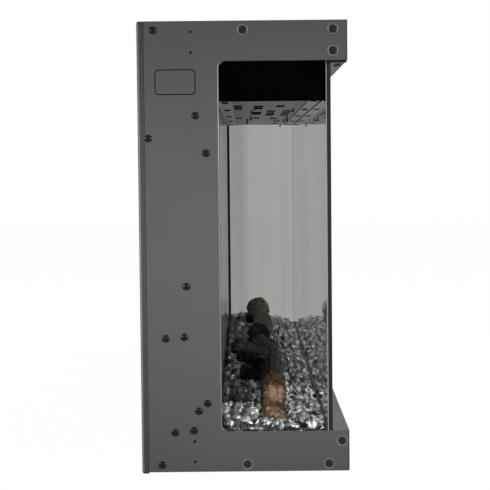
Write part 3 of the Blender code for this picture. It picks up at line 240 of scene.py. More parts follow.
def crack_group():
    """Cracks between plates: a mask that is 1 on the plates and 0 in the cracks, and its height."""
    group, given, end, place = shader_group(
        "cracks", [("Scale", "Float", 60.0), ("Width", "Float", 0.1)],
        [("Plates", "Float"), ("Height", "Float")])
    wander = clouds(group, place, 90.0, output="Color")
    bent = add(group, "ShaderNodeMix", {"data_type": "VECTOR"}, {0: 0.03, 4: place, 5: wander}, 1)
    cells = add(group, "ShaderNodeTexVoronoi", {"feature": "DISTANCE_TO_EDGE"},
                {"Vector": bent, "Scale": given["Scale"]}, "Distance")
    plates = ranged(group, cells, 0.0, 1.0, 0.0, given["Width"])
    fibre = arithmetic(group, "MULTIPLY", clouds(group, place, 700.0, 6.0), 0.5)
    connect(group, end, {"Plates": plates, "Height": arithmetic(group, "ADD", plates, fibre)})
    return group


BUILT = {}


def built_once(maker):
    """What maker makes, made the first time it is asked for."""
    if maker.__name__ not in BUILT:
        BUILT[maker.__name__] = maker()
    return BUILT[maker.__name__]


def group_node(tree, maker, inputs):
    node = tree.nodes.new("ShaderNodeGroup")
    node.node_tree = built_once(maker)
    connect(tree, node, inputs)
    return node.outputs


def cloudy(tree, rgb, change, scale, stretch=EVEN):
    return group_node(tree, cloudy_group, {
        "Color": colour(rgb), "Change": change, "Scale": scale, "Stretch": stretch})


def grained(tree, scale, roughness, spread, stretch=EVEN):
    return group_node(tree, grain_group, {
        "Scale": scale, "Roughness": roughness, "Spread": spread, "Stretch": stretch})


# Materials

def new_material(name):
    made = bpy.data.materials.new(name)
    made.use_nodes = True
    return made, made.node_tree, made.node_tree.nodes["Principled BSDF"]


def bump(tree, height, distance):
    return add(tree, "ShaderNodeBump", None, {"Height": height, "Distance": distance}, "Normal")


def mix_shader(tree, share, first, second):
    """Sends a mix of two shaders to the material's output."""
    both = add(tree, "ShaderNodeMixShader", None, {0: share, 1: first, 2: second})
    connect(tree, tree.nodes["Material Output"], {"Surface": both})


PAINT_DRIFT = 3.5


def coated(name, rgb, roughness, change=0.05, grain=900.0, depth=0.00004, metallic=0.0, stretch=EVEN,
           spread=0.06, specular=0.5):
    """A sheet or moulding with a drifting colour, a fine grain in its gloss, and a bump from the grain."""
    made, tree, surface = new_material(name)
    fine = grained(tree, grain, roughness, spread, stretch)
    connect(tree, surface, {
        "Base Color": cloudy(tree, rgb, change, PAINT_DRIFT)["Color"], "Roughness": fine["Roughness"],
        "Normal": bump(tree, fine["Height"], depth), "Metallic": metallic, "Specular IOR Level": specular})
    return made


def lets_lamps_through(tree, surface, clear_tint):
    """Glass whose shadow rays pass, so that the lamps light what stands behind it."""
    path = add(tree, "ShaderNodeLightPath", output="Is Shadow Ray")
    clear = add(tree, "ShaderNodeBsdfTransparent", None, {"Color": clear_tint})
    mix_shader(tree, path, surface.outputs[0], clear)


# The panes are darker in front of the rear wall, as painted shade: the share they let through there, and
# where it starts and is full
PANE_REAR_SHADE = (0.91, -0.012, 0.004)
COATED_PANE, PLAIN_PANE = 1.05, 1.45
# Change, scale and stretch of the streaks in a pane
STREAKS = (0.045, 9.0, (1.0, 3.0, 0.12))


def pane_glass(name, shaded_tint, index):
    """Clear toughened glass with faint upright streaks, darkened by its tint as painted shade for the grey
    backdrop seen through it, and darker towards the rear as painted shade; a low index stands for an
    anti-reflective coat.
    """
    made, tree, surface = new_material(name)
    drift = cloudy(tree, shaded_tint, *STREAKS)["Color"]
    share, start, full = PANE_REAR_SHADE
    # Painted shade: darker towards the rear
    rear = ranged(tree, place_along(tree, "Y"), 1.0, share, start, full)
    connect(tree, surface, {
        "Base Color": mixed(tree, 1.0, drift, rear, "MULTIPLY"), "Roughness": 0.0, "IOR": index,
        "Transmission Weight": 1.0})
    lets_lamps_through(tree, surface, colour([math.sqrt(x) for x in shaded_tint]))
    return made


# Painted light and shade on the broken glass: the level before and after, and the two places between which it
# changes
REAR_SHADE = (1.0, 0.4, -0.035, 0.03)
ENDS_SHADE = (0.0, 1.0, 0.52, 0.62)
LENGTH_SHADE = (1.35, 0.84, -0.68, 0.1)
FRONT_SHADE = (0.66, 1.0, -0.085, -0.04)
CRINKLE = 0.0006
CRINKLE_SCALE = 110.0
# Change and scale of the colour of broken glass, and how far its roughness spreads as a share of it
ICE_DRIFT = (0.5, 55.0)
ICE_SPREAD = 0.6
ICE_INDEX = 1.5


def broken_glass(name, rgb, metallic, roughness):
    """Crinkled pieces of glass with a silvery sheen; metallic is the share of the light that it mirrors.
    Its colour is brighter towards the near end and darker towards the far end, the rear and the front:
    painted light and shade.
    """
    made, tree, surface = new_material(name)
    drift = cloudy(tree, rgb, *ICE_DRIFT)["Color"]
    fine = grained(tree, CRINKLE_SCALE, roughness, ICE_SPREAD * roughness)
    along, across = place_along(tree, "X"), place_along(tree, "Y")
    # Painted light and shade: the level of the colour along and across the bed
    ends = ranged(tree, arithmetic(tree, "ABSOLUTE", along, 0.0), *ENDS_SHADE)
    level = arithmetic(tree, "MAXIMUM", ranged(tree, across, *REAR_SHADE), ends)
    for place, shade in ((along, LENGTH_SHADE), (across, FRONT_SHADE)):
        level = arithmetic(tree, "MULTIPLY", level, ranged(tree, place, *shade))
    connect(tree, surface, {
        "Base Color": mixed(tree, 1.0, drift, level, "MULTIPLY"), "Roughness": fine["Roughness"],
        "Normal": bump(tree, fine["Height"], CRINKLE), "Metallic": metallic, "IOR": ICE_INDEX,
        "Transmission Weight": 1.0})
    lets_lamps_through(tree, surface, colour([(1 - metallic) * x for x in rgb]))
    return made


COAL_DARK = (0.005, 0.0048, 0.0043)
COAL_PALE = (0.019, 0.018, 0.016)
BARK_ROUGHNESS, COAL_ROUGHNESS = 0.85, 0.42
CRACK_DEPTH = 0.0012
CRACK_SHADE = 0.35
# Change and scale of the bark's colour; change, scale and stretch of the bare wood's
BARK_DRIFT = (0.55, 45.0)
FIBRE_DRIFT = (0.35, 60.0, (0.3, 2.0, 2.0))
# How ragged the edge of the charring is, and the levels between which wood turns into coal
CHAR_RAGGED = 0.18
CHAR_EDGE = (0.42, 0.62)


def log_material(name, bark, bare):
    """Bark over wood: the attribute worn bares the wood, and the attribute char blackens it."""
    made, tree, surface = new_material(name)
    cracks = group_node(tree, crack_group, {"Scale": 62.0, "Stretch": (0.45, 1.0, 1.0), "Width": 0.14})
    drift = cloudy(tree, bark, *BARK_DRIFT)
    fibre = cloudy(tree, bare, *FIBRE_DRIFT)["Color"]
    worn, char = (add(tree, "ShaderNodeAttribute", {"attribute_name": label}, None, "Fac")
                  for label in ("worn", "char"))
    wood = mixed(tree, worn, drift["Color"], fibre)
    shaded = mixed(tree, 1.0, wood, ranged(tree, cracks["Plates"], CRACK_SHADE, 1.0), "MULTIPLY")
    ragged = arithmetic(tree, "ADD", char, ranged(tree, drift["Mask"], -CHAR_RAGGED, CHAR_RAGGED))
    edge = ranged(tree, ragged, 0.0, 1.0, *CHAR_EDGE)
    coal = mixed(tree, drift["Mask"], colour(COAL_DARK), colour(COAL_PALE))
    connect(tree, surface, {
        "Base Color": mixed(tree, edge, shaded, coal),
        "Roughness": ranged(tree, edge, BARK_ROUGHNESS, COAL_ROUGHNESS),
        "Normal": bump(tree, cracks["Height"], CRACK_DEPTH), "Specular IOR Level": 0.5, "IOR": 1.2})
    return made


def sizes_of(label):
    """The values that a user may have changed."""
    return getattr(bpy.context.scene, "fireplace_" + label)


MATERIALS = {}


def material(name):
    """The finish called name, built the first time it is asked for."""
    if name not in MATERIALS:
        MATERIALS[name] = FINISHES[name](name)
    return MATERIALS[name]


BRUSHED = (0.08, 1.0, 1.0)
ROLLED = (0.1, 1.0, 1.0)
DRAWN = (0.3, 1.0, 0.15)

FINISHES = {
    "panel_paint": lambda name: coated(
        name, sizes_of("casing").paint, 0.5, 0.05, 1500.0, 0.00002, specular=0.15),
    # The back cover's paint, made darker than the panels as painted shade on its side flanges
    "cover_paint": lambda name: coated(
        name, [0.75 * x for x in sizes_of("casing").paint], 0.6, 0.05, 1500.0, 0.00002, specular=0.05),
    # Lighter than the cover's paint: a painted highlight along the folds
    "fold_sheen": lambda name: coated(name, (0.085, 0.087, 0.09), 0.6, 0.1, 1200.0, specular=0.05),
    # Lighter than the panel paint: a painted highlight along the window's rounded rim
    "window_lip": lambda name: coated(name, (0.085, 0.085, 0.088), 0.35, 0.1, 1200.0, metallic=0.2),
    # Lighter and glossier than the paint: a painted highlight round each dimpled seat
    "seat_rim": lambda name: coated(name, (0.09, 0.09, 0.092), 0.4, 0.1, 1200.0, metallic=0.2, specular=0.35),
    "grey_seal": lambda name: coated(name, (0.03, 0.031, 0.03), 0.8, 0.1, specular=0.0),
    "black_paint": lambda name: coated(name, (0.010, 0.010, 0.011), 0.5, 0.1),
    # Black of the printed band on the glass, and painted shade in holes, grooves and over slots
    "print_black": lambda name: coated(name, (0.0006, 0.0006, 0.0006), 0.6, 0.1, specular=0.0),
    "screw_flat": lambda name: coated(name, (0.008, 0.008, 0.0085), 0.4, 0.3, 2500.0, 0.00001, specular=0.1),
    "screw_black": lambda name: coated(
        name, (0.002, 0.002, 0.0022), 0.14, 0.1, 2500.0, 0.000005, specular=0.16),
    "zinc_sheet": lambda name: coated(name, (0.46, 0.47, 0.48), 0.34, 0.14, 260.0, 0.00002, 0.9, BRUSHED),
    "ceiling_plate": lambda name: coated(name, (0.25, 0.26, 0.24), 0.42, 0.12, 700.0, 0.00002, 0.3),
    "ceiling_strip": lambda name: coated(name, (0.56, 0.57, 0.54), 0.42, 0.12, 700.0, 0.00002, 0.3),
    "clear_pane": lambda name: pane_glass(name, sizes_of("glass").shaded_tint, COATED_PANE),
    "front_pane": lambda name: pane_glass(name, sizes_of("glass").shaded_tint, PLAIN_PANE),
    # Black that stands for shade in slots, gaps and recesses: painted shade
    "slot_black": lambda name: coated(name, (0.003, 0.003, 0.003), 0.7, 0.1, specular=0.05),
    "seal_clear": lambda name: coated(name, (0.12, 0.123, 0.12), 0.5, 0.1, specular=0.1),
    "seal_dark": lambda name: coated(name, (0.004, 0.005, 0.0045), 0.35, 0.2, specular=0.15),
    "milky_screen": lambda name: coated(
        name, (0.27, 0.285, 0.295), 0.18, 0.1, 120.0, 0.00001, 0.55, DRAWN, 0.03),
    "ice_clear": lambda name: broken_glass(name, (0.56, 0.565, 0.56), 0.8, 0.36),
    "ice_smoke": lambda name: broken_glass(name, (0.23, 0.235, 0.235), 0.6, 0.36),
    "ice_glint": lambda name: broken_glass(name, (0.70, 0.70, 0.70), 0.8, 0.18),
    "bed_dark": lambda name: coated(name, (0.14, 0.145, 0.14), 0.35, 0.5, 160.0, 0.0012, 0.6),
    "bark": lambda name: log_material(name, sizes_of("logs").bark, sizes_of("logs").bare),
    "knot_bark": lambda name: log_material(name, (0.022, 0.020, 0.016), (0.46, 0.425, 0.36)),
    "lump_bark": lambda name: log_material(name, (0.062, 0.064, 0.066), (0.1, 0.1, 0.1)),
    "charred_wood": lambda name: log_material(name, (0.02, 0.018, 0.015), (0.05, 0.045, 0.04)),
    "mirror_sheet": lambda name: coated(
        name, (0.86, 0.86, 0.87), 0.10, 0.05, 300.0, 0.00001, 1.0, ROLLED, 0.03),
    "black_plastic": lambda name: coated(name, (0.018, 0.018, 0.020), 0.42, 0.1, 1600.0, 0.00002),
    "board": lambda name: coated(name, (0.02, 0.11, 0.055), 0.4, 0.3, 400.0, 0.00003),
    "mica": lambda name: coated(name, (0.52, 0.47, 0.38), 0.6, 0.2, 500.0, 0.00003),
}


# Places in the frame that scene pieces are fitted to, as the frame's own sizes give them

END = CAD_HIGH.x
FRONT = CAD_LOW.y
BACK = CAD_HIGH.y
DEPTH = BACK - FRONT
HEIGHT = CAD_HIGH.z - CAD_LOW.z
HEADER = 0.0575
SILL = 0.0613
WINDOW_TOP = 0.5945
WINDOW_REAR = 0.0357
CEILING = 0.5455
CEILING_TOP = 0.5473
PANE_BACK = 0.6929
PANE_FRONT = 0.6982
GLASS_FRONT = -0.1262
GLASS_BACK = -0.1202
GLASS_TOP = 0.606
LEDGE = 0.0457
ROOM_FRONT = -0.1181
ROOM_BACK = 0.0382


# Mesh helpers

WELD = 0.000002
# Width and segments of each rounding
WINDOW_ROUNDING = (0.0010, 4)
FOLD_ROUNDING = (0.0024, 5)
EDGE_SEGMENTS = 2
FLAT_TURN = math.radians(0.5)
EDGE_TURN = math.radians(28.0)


def linked(data, name):
    piece = bpy.data.objects.new(name, data)
    bpy.context.scene.collection.objects.link(piece)
    return piece


def object_from(bm, name):
    mesh = bpy.data.meshes.new(name)
    bm.to_mesh(mesh)
    bm.free()
    return linked(mesh, name)


def smooth(low, high, value):
    """0 below low and 1 above high, with an even change between them."""
    share = min(1.0, max(0.0, (value - low) / (high - low))) if high > low else float(value >= high)
    return share * share * (3 - 2 * share)


def settled(piece):
    """Turns what the modifiers of a piece make into its plain mesh."""
    bpy.context.view_layer.update()
    graph = bpy.context.evaluated_depsgraph_get()
    mesh = bpy.data.meshes.new_from_object(
        piece.evaluated_get(graph), preserve_all_data_layers=True, depsgraph=graph)
    piece.modifiers.clear()
    piece.data = mesh
    return piece


def fitted(piece, finish, replaced=()):
    """Gives a piece of the casing its material and the CAD nodes that it stands for."""
    if finish:
        piece.data.materials.clear()
        piece.data.materials.append(material(finish))
    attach(piece, CASING)
    if replaced:
        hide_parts(*replaced)
    return piece


def fitted_from(bm, name, finish):
    """A piece of the casing made from closed shapes, with their faces turned outwards."""
    bmesh.ops.recalc_face_normals(bm, faces=bm.faces)
    return fitted(object_from(bm, name), finish)


def finish_nodes(finish, *nodes):
    """Gives CAD nodes, which keep their meshes, their finish."""
    for node in nodes:
        mesh = frame["nodes"][node].data
        mesh.materials.clear()
        mesh.materials.append(material(finish))


def node_copy(node):
    bm = bmesh.new()
    bm.from_mesh(frame["nodes"][node].data)
    bmesh.ops.remove_doubles(bm, verts=bm.verts, dist=WELD)
    return bm


def all_at(edge, axis, place):
    """Whether an edge lies at this distance from the middle along an axis."""
    return all(abs(abs(v.co[axis]) - place) < WELD for v in edge.verts)


def window_edges(bm):
    """The outer edges of an end panel's window."""
    chosen = []
    for edge in bm.edges:
        middle = (edge.verts[0].co + edge.verts[1].co) / 2
        inside = FRONT < middle.y < WINDOW_REAR + WELD and SILL - WELD < middle.z < WINDOW_TOP + WELD
        if inside and all_at(edge, 0, END) and any(abs(f.normal.x) < 0.5 for f in edge.link_faces):
            chosen.append(edge)
    return chosen


def rounded(bm, edges, width, segments):
    bmesh.ops.bevel(bm, geom=edges, offset=width, segments=segments, profile=0.5, affect="EDGES",
                    clamp_overlap=True)


def eased(node, finish, width):
    """A copy of a CAD node with rounded edges, which stands for the node."""
    bm = node_copy(node)
    bmesh.ops.dissolve_limit(bm, angle_limit=FLAT_TURN, verts=bm.verts, edges=bm.edges)
    if node.startswith("side_panel"):
        rounded(bm, window_edges(bm), *WINDOW_ROUNDING)
    if node == "back_cover":
        rounded(bm, [e for e in bm.edges if all_at(e, 0, END) and all_at(e, 1, BACK)], *FOLD_ROUNDING)
    piece = object_from(bm, node + "_finished")
    for layer in ("custom_normal", "sharp_edge", "sharp_face"):
        if layer in piece.data.attributes:
            piece.data.attributes.remove(piece.data.attributes[layer])
    piece.data.shade_smooth()
    rounding = piece.modifiers.new("edges", "BEVEL")
    rounding.width = width
    rounding.segments = EDGE_SEGMENTS
    rounding.limit_method = "ANGLE"
    rounding.angle_limit = EDGE_TURN
    rounding.harden_normals = True
    return fitted(settled(piece), finish, [node])


# Shapes built from loops of points

FULL_TURN = 2 * math.pi


def block(bm, low, high):
    """A box from its lowest to its highest corner, added to bm."""
    corners = [bm.verts.new((x, y, z)) for x in (low[0], high[0]) for y in (low[1], high[1])
               for z in (low[2], high[2])]
    for face in ((0, 1, 3, 2), (4, 6, 7, 5), (0, 4, 5, 1), (2, 3, 7, 6), (0, 2, 6, 4), (1, 5, 7, 3)):
        bm.faces.new([corners[i] for i in face])


def end_block(bm, side, near, far, low, high):
    """A box at one end of the fireplace, between two distances from its middle and two (y, z) corners."""
    x0, x1 = sorted((side * near, side * far))
    block(bm, (x0, *low), (x1, *high))


def turn_angles(count):
    return [FULL_TURN * i / count for i in range(count)]


def skin(bm, rows):
    """Faces between neighbouring loops of vertices, all of one count."""
    for one, two in zip(rows, rows[1:]):
        for i in range(len(one)):
            j = (i + 1) % len(one)
            bm.faces.new((one[i], one[j], two[j], two[i]))


def rings(bm, circles):
    """A closed skin over circles of equal count; each circle is a list of points."""
    rows = [[bm.verts.new(p) for p in circle] for circle in circles]
    skin(bm, rows)
    bm.faces.new(list(reversed(rows[0])))
    bm.faces.new(rows[-1])


def loop(count, height, reach):
    """Points about Z at a height; reach gives their distance from it at each angle."""
    return [(reach(a) * math.cos(a), reach(a) * math.sin(a), height) for a in turn_angles(count)]


def turned(profile, count):
    """Circles about Z for a profile of (radius, height) pairs, from the lowest up."""
    return [loop(count, height, lambda a, radius=radius: radius) for radius, height in profile]


def template(bm, name, sharp=None):
    """A smooth shape that Geometry Nodes repeat; it is removed once they have run."""
    bmesh.ops.recalc_face_normals(bm, faces=bm.faces)
    made = object_from(bm, name)
    made.data.shade_smooth()
    if sharp:
        made.data.set_sharp_from_angle(angle=sharp)
    return made


# Geometry Nodes

def geometry_tree(name, inputs):
    tree = bpy.data.node_groups.new(name, "GeometryNodeTree")
    tree.is_modifier = True
    inputs = [("Geometry", "Geometry", None)] + inputs + [("Seed", "Int", 0), ("Material", "Material", None)]
    return (tree, *sockets(tree, inputs, [("Geometry", "Geometry")]))


def finished_tree(tree, given, end, instances):
    """Ends a tree as every tree here ends: real geometry with its material."""
    real = add(tree, "GeometryNodeRealizeInstances", None, {"Geometry": instances})
    dressed = add(tree, "GeometryNodeSetMaterial", None, {"Geometry": real, "Material": given["Material"]})
    connect(tree, end, {"Geometry": dressed})
    return tree


def drawn(tree, kind, keys, low, high, seed, output):
    """A random value between two others, which differs from point to point."""
    return add(tree, "FunctionNodeRandomValue", {"data_type": kind},
               {keys[0]: low, keys[1]: high, "Seed": seed}, output)


def placed_tree():
    """Places one shape on every point, with its Z along the point's facing, at a random turn about it."""
    tree, given, end = geometry_tree("placed shapes", [
        ("Shape", "Object", None), ("Across", "Float", 0.01), ("Tall", "Float", 0.002)])
    shape = add(tree, "GeometryNodeObjectInfo", None, {"Object": given["Shape"]}, "Geometry")
    facing = add(tree, "GeometryNodeInputNamedAttribute", {"data_type": "FLOAT_VECTOR"}, {"Name": "facing"},
                 "Attribute")
    aligned = add(tree, "FunctionNodeAlignRotationToVector", {"axis": "Z"}, {"Vector": facing})
    spin = add(tree, "FunctionNodeAxisAngleToRotation", None, {
        "Axis": (0.0, 0.0, 1.0), "Angle": drawn(tree, "FLOAT", (2, 3), 0.0, FULL_TURN, given["Seed"], 1)})
    turn = add(tree, "FunctionNodeRotateRotation", {"rotation_space": "LOCAL"},
               {"Rotation": aligned, "Rotate By": spin})
    size = add(tree, "ShaderNodeCombineXYZ", None, {
        "X": given["Across"], "Y": given["Across"], "Z": given["Tall"]})
    placed = add(tree, "GeometryNodeInstanceOnPoints", None, {
        "Points": given["Geometry"], "Instance": shape, "Rotation": turn, "Scale": size})
    return finished_tree(tree, given, end, placed)


GLASS_SHAPES = 12
MOST_PIECES = 60000.0


def scattered_tree():
    """Scatters the shapes of a collection over a mesh, at random turns and sizes, inside a box."""
    tree, given, end = geometry_tree("scattered shapes", [
        ("Shapes", "Collection", None), ("Spacing", "Float", 0.01), ("Smallest", "Float", 0.004),
        ("Largest", "Float", 0.01), ("Lift", "Float", 0.0), ("Low", "Vector", None),
        ("High", "Vector", None)])
    seed = given["Seed"]
    points = add(tree, "GeometryNodeDistributePointsOnFaces", {"distribute_method": "POISSON"}, {
        "Mesh": given["Geometry"], "Distance Min": given["Spacing"], "Density Max": MOST_PIECES,
        "Seed": seed}, "Points")
    lift = add(tree, "ShaderNodeCombineXYZ", None, {"Z": given["Lift"]})
    raised = add(tree, "GeometryNodeSetPosition", None, {"Geometry": points, "Offset": lift})
    shapes = add(tree, "GeometryNodeCollectionInfo", None, {
        "Collection": given["Shapes"], "Separate Children": True, "Reset Children": True})
    placed = add(tree, "GeometryNodeInstanceOnPoints", None, {
        "Points": raised, "Instance": shapes, "Pick Instance": True,
        "Instance Index": drawn(tree, "INT", (4, 5), 0, GLASS_SHAPES - 1, seed, 2),
        "Rotation": drawn(tree, "FLOAT_VECTOR", (0, 1), (0.0, 0.0, 0.0), (FULL_TURN,) * 3, seed, 0),
        "Scale": drawn(tree, "FLOAT", (2, 3), given["Smallest"], given["Largest"], seed, 1)})
    real = add(tree, "GeometryNodeRealizeInstances", None, {"Geometry": placed})
    place = add(tree, "GeometryNodeInputPosition")
    for limit, corner in (("MAXIMUM", "Low"), ("MINIMUM", "High")):
        place = add(tree, "ShaderNodeVectorMath", {"operation": limit}, {0: place, 1: given[corner]})
    held = add(tree, "GeometryNodeSetPosition", None, {"Geometry": real, "Position": place})
    return finished_tree(tree, given, end, held)


def grown(piece, maker, values):
    """Runs a Geometry Nodes tree on a piece with the values of its named inputs, and keeps the mesh."""
    tree = built_once(maker)
    live = piece.modifiers.new("shapes", "NODES")
    live.node_group = tree
    named = {item.name: item.identifier for item in tree.interface.items_tree if item.in_out == "INPUT"}
    for label, value in values.items():
        live[named[label]] = value
    return settled(piece)


def repeated(name, places, shape, across, tall, finish, seed):
    """One piece that holds a shape at every place; a place is (point, facing)."""
    mesh = bpy.data.meshes.new(name)
    mesh.from_pydata([point for point, _ in places], [], [])
    facing = mesh.attributes.new("facing", "FLOAT_VECTOR", "POINT")
    for item, (_, way) in zip(facing.data, places):
        item.vector = way
    piece = grown(linked(mesh, name), placed_tree, {
        "Shape": shape, "Across": across, "Tall": tall, "Seed": seed, "Material": material(finish)})
    fitted(piece, None)


# Shapes that are repeated, each one unit across

HEAD_DOME = ((0.5, 0.0), (0.5, 0.18), (0.485, 0.34), (0.44, 0.6), (0.37, 0.82), (0.29, 0.94), (0.24, 0.96))
HEAD_SOCKET = ((0.19, 0.93), (0.185, 0.3))
SEAT_RING = ((0.42, -1.0), (0.455, -0.62), (0.485, -0.22), (0.51, 0.06), (0.535, 0.20), (0.56, 0.22),
             (0.585, 0.10), (0.595, -0.1), (0.52, -0.3), (0.47, -1.1))
FLAT_DOME = ((0.44, -1.0), (0.46, -0.62), (0.46, -0.30), (0.44, -0.14), (0.38, -0.04), (0.26, 0.02))
FLAT_CROSS = ((0.21, 0.07, 0.01), (0.12, 0.05, -0.8))
HEAD_SIDES, SEAT_SIDES = 24, 32
HEAD_CREASE = math.radians(40)


def button_head():
    """A button head with a hexagonal socket; each loop of the socket is (size, height)."""
    def hexagon(size):
        sixth = math.pi / 3
        return lambda a: size * math.cos(sixth / 2) / math.cos(a % sixth - sixth / 2)
    bm = bmesh.new()
    rings(bm, turned(HEAD_DOME, HEAD_SIDES)
          + [loop(HEAD_SIDES, height, hexagon(size)) for size, height in HEAD_SOCKET])
    return template(bm, "button_head", HEAD_CREASE)


def flat_head():
    """A low head with a cross recess; each loop of the recess is (size, waist, height)."""
    def cross(size, waist):
        return lambda a: waist + (size - waist) * abs(math.cos(2 * a)) ** 3
    bm = bmesh.new()
    rings(bm, turned(FLAT_DOME, SEAT_SIDES)
          + [loop(SEAT_SIDES, height, cross(size, waist)) for size, waist, height in FLAT_CROSS])
    return template(bm, "flat_head", HEAD_CREASE)


def pressed_seat():
    """A dimple in the sheet that holds a flat screw."""
    bm = bmesh.new()
    rows = [[bm.verts.new(p) for p in circle] for circle in turned(SEAT_RING, SEAT_SIDES)]
    skin(bm, rows + rows[:1])
    return template(bm, "pressed_seat")


# A piece of glass: the least and the most of its width and of its height, how many cuts it has and how far
# out they lie, its creases, its size at a crease, and what a dent and chance add to that
PIECE_STRETCH = ((0.6, 0.9), (0.45, 0.75))
CUTS = 7
CUT_REACH = (0.55, 0.8)
CREASE_SCALE, CREASE_WIDTH, CREASE_SHIFT = 1.5, 0.5, 50.0
PIECE_SIZE, DENT, JITTER = 0.80, 0.16, 0.12


def glass_pieces(seed):
    """A collection of broken pieces of glass with dents and creases, each about one unit in radius."""
    chance = np.random.default_rng(seed)
    holder = bpy.data.collections.new("glass_pieces")
    for index in range(GLASS_SHAPES):
        bm = bmesh.new()
        bmesh.ops.create_icosphere(bm, subdivisions=2, radius=1.0)
        stretch = Vector((1.0, *(chance.uniform(*limits) for limits in PIECE_STRETCH)))
        cuts = [(Vector(chance.normal(size=3)).normalized(), chance.uniform(*CUT_REACH)) for _ in range(CUTS)]
        shift = Vector(chance.uniform(0.0, CREASE_SHIFT, 3))
        for v in bm.verts:
            for way, reach in cuts:
                v.co -= way * max(0.0, v.co.dot(way) - reach)
            near, second = noise.voronoi(v.co * CREASE_SCALE + shift)[0][:2]
            dent = smooth(0.0, CREASE_WIDTH, second - near)
            v.co = v.co * stretch * (PIECE_SIZE + DENT * dent + chance.uniform(0.0, JITTER))
        bmesh.ops.recalc_face_normals(bm, faces=bm.faces)
        mesh = bpy.data.meshes.new(f"glass_piece_{index}")
        bm.to_mesh(mesh)
        bm.free()
        mesh.shade_smooth()
        holder.objects.link(bpy.data.objects.new(mesh.name, mesh))
    return holder


# The casing's small fittings

FOLDED = ("side_panel_left", "side_panel_right", "base_pan", "top_pan", "back_cover", "front_top_trim",
          "front_bottom_trim")
WINDOW_CORNER = 0.0095
LIP_RADIUS = 0.0008
LIP_SIDES = 12
# The lip would end this many steps before its path starts, and is full this many steps after
LIP_TAPER = (-2.0, 5.0)
SHADE_LINE = 0.0007
SHADE_LINE_INSET = 0.0014
SHADE_LINE_SIDES = 8
CORNER_STEPS = 8


def corner_points(z, reach, up):
    """An arc of (y, z) points round a rear corner of the window, from its rear edge on."""
    angles = [math.pi / 2 * step / CORNER_STEPS for step in range(CORNER_STEPS + 1)]
    return [Vector((WINDOW_REAR - WINDOW_CORNER + reach * math.cos(a), z + up * reach * math.sin(a)))
            for a in angles]


def bead(bm, side, path, depth, radii, sides):
    """A round bead along (y, z) points of an end panel; its middle lies at this depth."""
    circles = []
    for index, (point, radius) in enumerate(zip(path, radii)):
        along = (path[min(len(path) - 1, index + 1)] - path[max(0, index - 1)]).normalized()
        circles.append([(side * (END - depth + radius * math.cos(a)),
                         point.x + along.y * radius * math.sin(a), point.y - along.x * radius * math.sin(a))
                        for a in turn_angles(sides)])
    rings(bm, circles)


def window_lip(bm, side):
    """The rounded lip that runs round the rear of an end panel's window, thinner towards its ends; its
    lighter finish is a painted highlight.
    """
    reach = WINDOW_CORNER - LIP_RADIUS
    path = corner_points(WINDOW_TOP - WINDOW_CORNER, reach, 1)[::-1]
    path += corner_points(SILL + WINDOW_CORNER, reach, -1)
    from_ends = [min(index, len(path) - 1 - index) for index in range(len(path))]
    radii = [LIP_RADIUS * smooth(*LIP_TAPER, steps) for steps in from_ends]
    bead(bm, side, path, LIP_RADIUS, radii, LIP_SIDES)


def window_shade_line(bm, side):
    """A black bead inside the rear and lower edges of an end panel's window: painted shade along the window's
    edge.
    """
    path = [Vector((WINDOW_REAR - SHADE_LINE_INSET, WINDOW_TOP - WINDOW_CORNER))]
    path += corner_points(SILL + WINDOW_CORNER, WINDOW_CORNER - SHADE_LINE_INSET, -1)
    path.append(Vector((GLASS_FRONT, SILL + SHADE_LINE_INSET)))
    bead(bm, side, path, 2 * SHADE_LINE, [SHADE_LINE] * len(path), SHADE_LINE_SIDES)


# A knock-out's middle (y, z), its width, height and corner radius, and the groove round it
KNOCKOUT = (0.0960, 0.5652, 0.0585, 0.0363, 0.0065)
GROOVE = 0.0013
GROOVE_DEPTH = 0.0012
GROOVE_SHADE_PROUD = 0.00003
KNOCKOUT_STEPS = 6


def knockout_groove_shade(bm, side):
    """A black fill in the groove round a knock-out, flush with the sheet: painted shade in the groove."""
    y, z, width, height, corner = KNOCKOUT
    outline = []
    for quarter, (across, up) in enumerate(((1, 1), (-1, 1), (-1, -1), (1, -1))):
        centre = Vector((across * (width / 2 - corner), up * (height / 2 - corner)))
        for step in range(KNOCKOUT_STEPS + 1):
            angle = math.pi / 2 * (quarter + step / KNOCKOUT_STEPS)
            way = Vector((math.cos(angle), math.sin(angle)))
            outline.append((centre + corner * way, centre + (corner - GROOVE) * way))
    rows = [[bm.verts.new((side * (END - depth), y + pair[k].x, z + pair[k].y)) for pair in outline]
            for depth, k in ((GROOVE_DEPTH, 0), (-GROOVE_SHADE_PROUD, 0), (-GROOVE_SHADE_PROUD, 1), (GROOVE_DEPTH, 1))]
    skin(bm, rows + rows[:1])


# A black oval under the left end of the hood, painted shade in the slot over the receiver window: its place
# (x, y) and half sizes
SLOT_SHADE_PLACE = (-0.6010, -0.1425)
SLOT_SHADE_HALF = (0.0240, 0.0050)
SLOT_SHADE_DEPTHS = (0.0006, 0.0001)
SLOT_SHADE_SIDES = 16
# The black strips under the hood's ends, painted shade, lie between these distances from the fireplace's
# middle
HOOD_STRIP = (0.6900, 0.6988)
HOOD_STRIP_FRONT = FRONT + 0.0012
HOOD_STRIP_HEIGHT = 0.0030
SEAL_OUT = 0.6995
SEAL_CAP = 0.0003
SEAL_CAP_HEIGHT = 0.0065
JUST_UNDER = 0.0001


def hood_shade_strips(bm, side):
    """The black strip under one end of the hood, and the black top of the seal there: painted shade."""
    top = WINDOW_TOP - JUST_UNDER
    end_block(bm, side, *HOOD_STRIP, (HOOD_STRIP_FRONT, WINDOW_TOP - HOOD_STRIP_HEIGHT), (GLASS_FRONT, top))
    end_block(bm, side, SEAL_OUT, SEAL_OUT + SEAL_CAP, (GLASS_FRONT, WINDOW_TOP - SEAL_CAP_HEIGHT),
              (GLASS_BACK, top))


